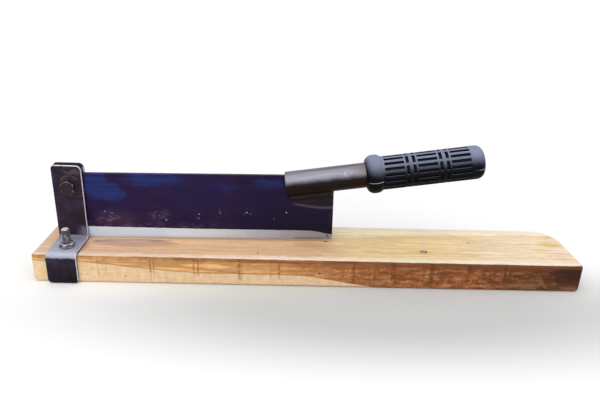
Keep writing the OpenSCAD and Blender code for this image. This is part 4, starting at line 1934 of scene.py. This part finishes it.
@dataclass
class WeldBead:
    """Rippled fillet weld in the corner between the tube and one face of the blade."""

    radius: float = 0.0038
    standoff: float = 0.0012
    ripple: float = 0.0022
    ripple_depth: float = 0.09
    wander: float = 0.06
    step: float = 0.00055
    segments: int = 24
    wander_waves: float = 240.0
    cap_least: float = 0.004
    crease_deg: float = 50.0

    def build(self, side: Side, line: HandleLine, tube: HandleTube, skin: Material) -> None:
        """Models and dresses one bead.

        Args:
            side: Face of the blade that it lies on.
            line: The handle's line.
            tube: The tube that it joins.
            skin: The weld's finish.
        """
        node = f"{side.name.lower()}_weld_bead"
        half_blade = line.lever.blade_high[1]
        reach = tube.diameter / 2.0 + self.standoff
        start, end = -tube.overlap, -(reach + self.radius) * math.tan(math.radians(line.tilt_deg))
        count = round((end - start) / self.step)
        places = [start + (end - start) * i / count for i in range(count + 1)]
        bm = ring_loft(self.segments, [turned(self.girth(s, start, end), s) for s in places], closed=False)
        lay = Matrix.Translation((0.0, side.value * (half_blade + self.standoff), -reach))
        move(bm, line.matrix() @ lay @ Matrix.Rotation(RIGHT_ANGLE, 4, "Y"))
        face_out(bm)
        Piece(node, "rippled", Body.LEVER, Slot.WELD).publish(bm, [skin], self.crease_deg)

    def girth(self, s: float, start: float, end: float) -> float:
        """Radius of the bead at a place along it, with its ripples and rounded ends.

        Args:
            s: Place along the handle's line.
            start: Where the bead begins.
            end: Where it ends.

        Returns:
            The radius.
        """
        ripple = 1.0 - self.ripple_depth * abs(math.sin(math.pi * s / self.ripple))
        into = min(s - start, end - s, self.radius)
        cap = math.sqrt(max(self.cap_least, 1.0 - (1.0 - into / self.radius) ** 2))
        wander = 1.0 + self.wander * lump(s * self.wander_waves, 1.0, Layer.WANDER)
        return min(1.0, ripple * wander) * cap * self.radius


# Grip


@dataclass
class Grip:
    """Moulded grip: fat collar, three ribbed panels between ring bands, and a domed end."""

    length: float = 0.118
    bore: float = 0.01275
    bore_lip: float = 0.0006
    barrel: float = 0.01703
    collar: float = 0.01952
    collar_run: float = 0.0185
    collar_round: float = 0.008
    dome_run: float = 0.015
    dome_round: float = 0.0075
    dome_middle: float = 0.004
    band_run: float = 0.0134
    ring_width: float = 0.003
    ring_pitch: float = 0.0065
    end_wall: float = 0.008
    groove_depth: float = 0.0015
    ribs: int = 18
    steps_per_rib: int = 16
    groove_steps: int = 8
    bar_steps: int = 8
    flash: float = 0.0004
    flash_run: float = 0.0125
    flash_steps: int = 8
    skin: float = 0.001
    soft: float = 0.00028
    soft_steps: int = 2
    lip_turn_deg: float = 4.0
    collar_steps: int = 9
    shoulder_steps: int = 7
    dome_steps: int = 10
    flash_near: float = 0.0015
    flash_far: float = 0.002
    groove_floor: float = 0.0004
    rim_deg: float = 50.0
    crease_deg: float = 38.0

    def build(self, line: HandleLine, bare: float, finishes: Sequence[Material]) -> None:
        """Models and dresses the grip.

        Args:
            line: The handle's line.
            bare: Length of tube that shows before the grip.
            finishes: Finish of its skin, of its parting line and of its grooves, whose darker black is
                painted shade.
        """
        rings = [turned(radius, s) for radius, s in self.profile()]
        bm = ring_loft(self.ribs * self.steps_per_rib, rings, closed=False)
        face_out(bm)
        self.raise_flash(bm)
        self.sink_grooves(bm)
        move(bm, line.matrix() @ Matrix.Translation((bare, 0.0, 0.0)) @ Matrix.Rotation(RIGHT_ANGLE, 4, "Y"))
        face_out(bm)
        Piece("grip", "moulded", Body.LEVER, Slot.GRIP).publish(bm, finishes, self.crease_deg)

    def panels(self) -> list[tuple[float, float]]:
        """Near and far end of each ribbed panel.

        Returns:
            The ends, from the collar to the dome.
        """
        run = (self.length - self.collar_run - self.dome_run - 2.0 * self.band_run) / 3.0
        starts = [self.collar_run + i * (run + self.band_run) for i in range(3)]
        return [(s, s + run) for s in starts]

    def ring_grooves(self) -> list[tuple[float, float]]:
        """Near and far side of each ring groove.

        Returns:
            The sides, two grooves in each band.
        """
        bands = [end + self.band_run / 2.0 for _, end in self.panels()[:2]]
        middles = [band + way * self.ring_pitch / 2.0 for band in bands for way in (-1.0, 1.0)]
        return [(m - self.ring_width / 2.0, m + self.ring_width / 2.0) for m in middles]

    def profile(self) -> list[tuple[float, float]]:
        """Radius and place of each ring from the bore's end, over the outside, to the dome's middle.

        Returns:
            The rings in order.
        """
        rows = [(self.bore, self.length - self.end_wall), (self.bore, self.bore_lip)]
        bulge = self.collar_round
        base = self.collar - bulge
        first = math.asin((self.bore - base) / bulge) + math.radians(self.lip_turn_deg)
        for i in range(self.collar_steps + 1):
            turn = first + (RIGHT_ANGLE - first) * i / self.collar_steps
            rows.append((base + bulge * math.sin(turn), bulge * (1.0 - math.cos(turn))))
        last = math.acos((self.barrel - base) / bulge)
        for i in range(self.shoulder_steps + 1):
            turn = last * i / self.shoulder_steps
            rows.append((base + bulge * math.cos(turn), self.collar_run - bulge + bulge * math.sin(turn)))
        levels = sorted({s for span in self.panels() + self.ring_grooves() for s in span})
        rows += [(self.barrel, s) for s in (*levels, self.length - self.flash_run)]
        for i in range(self.dome_steps + 1):
            turn = RIGHT_ANGLE * i / self.dome_steps
            radius = self.barrel - self.dome_round * (1.0 - math.cos(turn))
            rows.append((radius, self.length - self.dome_round + self.dome_round * math.sin(turn)))
        rows.append((self.dome_middle, self.length))
        return rows

    def angle(self, place: Vector) -> float:
        """Angle round the grip from the front, with the handle's line along Z and the front at -Y."""
        return math.atan2(-place.x, -place.y)

    def raise_flash(self, bm: BMesh) -> None:
        """Raises the thin parting line on the collar and the dome, front and back, and marks it.

        Args:
            bm: The grip's plain outside.
        """
        step = FULL_TURN / (self.ribs * self.steps_per_rib)
        rise = -self.flash_steps * step
        for vertex in bm.verts:
            outside = vertex.co.xy.length > self.bore + self.skin
            angle = self.angle(vertex.co)
            near = min(abs(angle - rise), abs(abs(angle) - math.pi + rise))
            if outside and self.has_flash(vertex.co.z) and near < step / 2.0:
                vertex.co.xy *= 1.0 + self.flash / vertex.co.xy.length
                for face in vertex.link_faces:
                    s = face.calc_center_median().z
                    if self.has_flash(s) and (s < self.collar_run or s > self.length - self.dome_round):
                        face.material_index = 1

    def has_flash(self, s: float) -> bool:
        """True where the parting line was left on the collar and the dome."""
        on_collar = self.flash_near < s < self.collar_run - self.flash_far
        return on_collar or s > self.length - self.flash_run - SMALL_GAP

    def sink_grooves(self, bm: BMesh) -> None:
        """Sinks the long grooves of the panels and the ring grooves of the bands.

        Args:
            bm: The grip's plain outside.
        """
        rib = FULL_TURN / self.ribs
        step = rib / self.steps_per_rib
        groove_half, bar_half = self.groove_steps * step / 2.0, self.bar_steps * step / 2.0
        panels, rings = self.panels(), self.ring_grooves()
        chosen = []
        for face in bm.faces:
            middle = face.calc_center_median()
            if middle.xy.length < self.barrel - self.skin / 2.0:
                continue
            angle = self.angle(middle)
            from_groove = abs((angle % rib) - rib / 2.0)
            from_bar = abs((angle + rib) % (2.0 * rib) - rib)
            in_panel = from_groove < groove_half and any(a < middle.z < b for a, b in panels)
            in_ring = from_bar > bar_half and any(a < middle.z < b for a, b in rings)
            if in_panel or in_ring:
                chosen.append(face)
        made = bmesh.ops.extrude_face_region(bm, geom=chosen)["geom"]
        for vertex in only(made, BMVert):
            vertex.co.xy *= 1.0 - self.groove_depth / vertex.co.xy.length
        bmesh.ops.delete(bm, geom=[f for f in chosen if f.is_valid], context="FACES")
        rims = [
            e for e in sharp_edges(bm, self.rim_deg)
            if min(v.co.xy.length for v in e.verts) > self.barrel - SMALL_GAP
            and e.verts[0].co.z > self.collar_run - self.skin
        ]
        round_edges(bm, rims, self.soft, self.soft_steps)
        # The groove faces take the third finish, a darker black that is painted shade.
        for face in bm.faces:
            middle = face.calc_center_median()
            ribbed = self.collar_run < middle.z < self.length - self.dome_run
            if ribbed and self.bore + self.skin < middle.xy.length < self.barrel - self.groove_floor:
                face.material_index = 2


# Studio


@dataclass(frozen=True)
class SoftSun:
    """Broad, even light from one direction."""

    name: str
    away: Place
    spread_deg: float
    strength: float
    colour: Colour

    def hang(self) -> None:
        """Makes the lamp and turns it to the object."""
        lamp = bpy.data.lights.new(self.name, "SUN")
        lamp.angle = math.radians(self.spread_deg)
        lamp.energy = self.strength
        lamp.color = self.colour
        holder = show(self.name, lamp)
        holder.location = self.away
        holder.rotation_mode = "QUATERNION"
        holder.rotation_quaternion = (-Vector(self.away)).to_track_quat("-Z", "Y")


@dataclass(frozen=True)
class Viewpoint:
    """Camera that repeats the photograph's view, with its focal length in pixels of a 600 wide image."""

    place: Place = (-0.0261, -0.5458, 0.2974)
    yaw_deg: float = 1.53
    pitch_deg: float = 21.96
    roll_deg: float = -1.96
    focal_px: float = 573.9
    image_px: float = 600.0
    sensor_mm: float = 36.0
    clip_start: float = 0.01

    def set_up(self) -> None:
        """Makes the camera and gives it to the scene."""
        yaw, pitch, roll = (math.radians(a) for a in (self.yaw_deg, self.pitch_deg, self.roll_deg))
        ahead = Vector((math.sin(yaw) * math.cos(pitch), math.cos(yaw) * math.cos(pitch), -math.sin(pitch)))
        right = Vector((math.cos(yaw), -math.sin(yaw), 0.0))
        down = ahead.cross(right)
        side = right * math.cos(roll) + down * math.sin(roll)
        up = right * math.sin(roll) - down * math.cos(roll)
        lens = bpy.data.cameras.new("viewpoint")
        lens.sensor_width = self.sensor_mm
        lens.lens = self.focal_px / self.image_px * self.sensor_mm
        lens.clip_start = self.clip_start
        holder = show("viewpoint", lens)
        turn = Matrix((side, up, -ahead)).transposed().to_4x4()
        holder.matrix_world = Matrix.Translation(self.place) @ turn
        bpy.context.scene.camera = holder


@dataclass
class Studio:
    """Pale floor, soft lamps, white surroundings and the camera."""

    floor_size: float = 60.0
    floor_gap: float = 0.0002
    ambient: float = 0.30
    suns: tuple[SoftSun, ...] = (
        SoftSun("top_light", (0.10, -0.36, 0.93), 100.0, 1.95, (0.98, 0.99, 1.0)),
        SoftSun("front_light", (-0.30, -0.72, 0.62), 70.0, 0.85, (1.0, 0.99, 0.97)),
    )

    def set_up(self) -> None:
        """Builds the studio round the object."""
        for sun in self.suns:
            sun.hang()
        self.lay_floor()
        self.light_world()
        Viewpoint().set_up()
        bpy.context.scene.view_settings.view_transform = "Standard"

    def lay_floor(self) -> None:
        """Lays the floor under the board."""
        bm = bmesh.new()
        level = Matrix.Translation((0.0, 0.0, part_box("board")[0].z - self.floor_gap))
        bmesh.ops.create_grid(bm, x_segments=2, y_segments=2, size=self.floor_size / 2.0, matrix=level)
        show("studio_floor", as_mesh("studio_floor", bm, [StudioFloor().make()]))

    def light_world(self) -> None:
        """Gives the surroundings an even light, and plain white to the camera."""
        world = bpy.data.worlds.new("studio_world")
        bpy.context.scene.world = world
        world.use_nodes = True
        tree = world.node_tree
        tree.nodes.clear()
        kinds = ("OutputWorld", "Background", "LightPath", "Math", "MapRange")
        output, ground, path, seen, level = (tree.nodes.new("ShaderNode" + kind) for kind in kinds)
        seen.operation = "MAXIMUM"
        level.inputs["To Min"].default_value = self.ambient
        level.inputs["To Max"].default_value = 1.0
        ground.inputs["Color"].default_value = (1.0, 1.0, 1.0, 1.0)
        for source, target in (
            (path.outputs["Is Camera Ray"], seen.inputs[0]),
            (path.outputs["Is Glossy Ray"], seen.inputs[1]),
            (seen.outputs[0], level.inputs["Value"]),
            (level.outputs["Result"], ground.inputs["Strength"]),
            (ground.outputs[0], output.inputs["Surface"]),
        ):
            tree.links.new(source, target)


# Assembly


def build_base() -> None:
    """Builds the board, the straps and every fastener."""
    Board().build(PlanedWood().make())
    edge = WornEdge().make()
    scale = ScaledSteel().make()
    for side in Side:
        StrapBracket().build(side, scale, edge)
    zinc = Fastener("dull_zinc", (0.110, 0.105, 0.120), (0.34, 0.33, 0.37), 0.5, (0.28, 0.42)).make()
    # Painted highlight for the clamp bolts' and nuts' turned edges.
    bright = Fastener("zinc_painted_highlight", (0.66, 0.64, 0.68), (0.92, 0.91, 0.95), 0.2, (0.30, 0.44)).make()
    oxide = Fastener("black_oxide", (0.010, 0.005, 0.009), (0.024, 0.013, 0.020), 0.2, (0.40, 0.56)).make()
    # Painted highlight for the pivot's turned edges.
    rubbed = Fastener("oxide_painted_highlight", (0.030, 0.020, 0.027), (0.20, 0.165, 0.185), 0.3, (0.36, 0.52)).make()
    for side in Side:
        clamp = f"{side.name.lower()}_clamp_"
        HexBolt(clamp + "bolt", Lie.UP, Slot.BRIGHT, (zinc, bright)).build()
        Washer(clamp + "washer", Lie.UP, Slot.BRIGHT, (zinc,)).build()
        HexNut(clamp + "nut", Lie.UP, Slot.BRIGHT, (zinc, bright)).build()
    HexBolt("pivot_bolt", Lie.BACK, Slot.DARK, (oxide, rubbed), thread_run=0.014).build()
    for node in ("pivot_head_washer", "pivot_nut_washer"):
        Washer(node, Lie.BACK, Slot.DARK, (oxide,)).build()
    HexNut("pivot_nut", Lie.BACK, Slot.DARK, (oxide, rubbed)).build()


def build_lever() -> None:
    """Builds the blade, the tube, the welds and the grip."""
    lever = LeverFrame()
    line = HandleLine(lever)
    tube = HandleTube()
    Blade().build(lever, BluedSteel().make(lever), GroundBevel().make(lever))
    tube.build(line, DrawnTube().make(line))
    skin = WeldSkin().make()
    for side in Side:
        WeldBead().build(side, line, tube, skin)
    # Each rubber's second colour is its painted sheen on the faces that look up.
    rubber = MouldedRubber("moulded_rubber").make(line)
    flash = MouldedRubber("rubber_flash", (0.16, 0.14, 0.125), (0.42, 0.38, 0.34)).make(line)
    # Darker black for the grooves: painted shade.
    grooves = MouldedRubber("rubber_groove_shade", (0.0025, 0.0022, 0.0028), (0.006, 0.006, 0.008)).make(line)
    Grip().build(line, tube.bare, (rubber, flash, grooves))


def main() -> None:
    """Builds the cutter and its studio."""
    logging.basicConfig(level=logging.INFO, format="%(name)s %(message)s")
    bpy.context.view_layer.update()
    Studio().set_up()
    build_base()
    build_lever()
    bpy.context.view_layer.update()


if __name__ == "__main__":
    main()
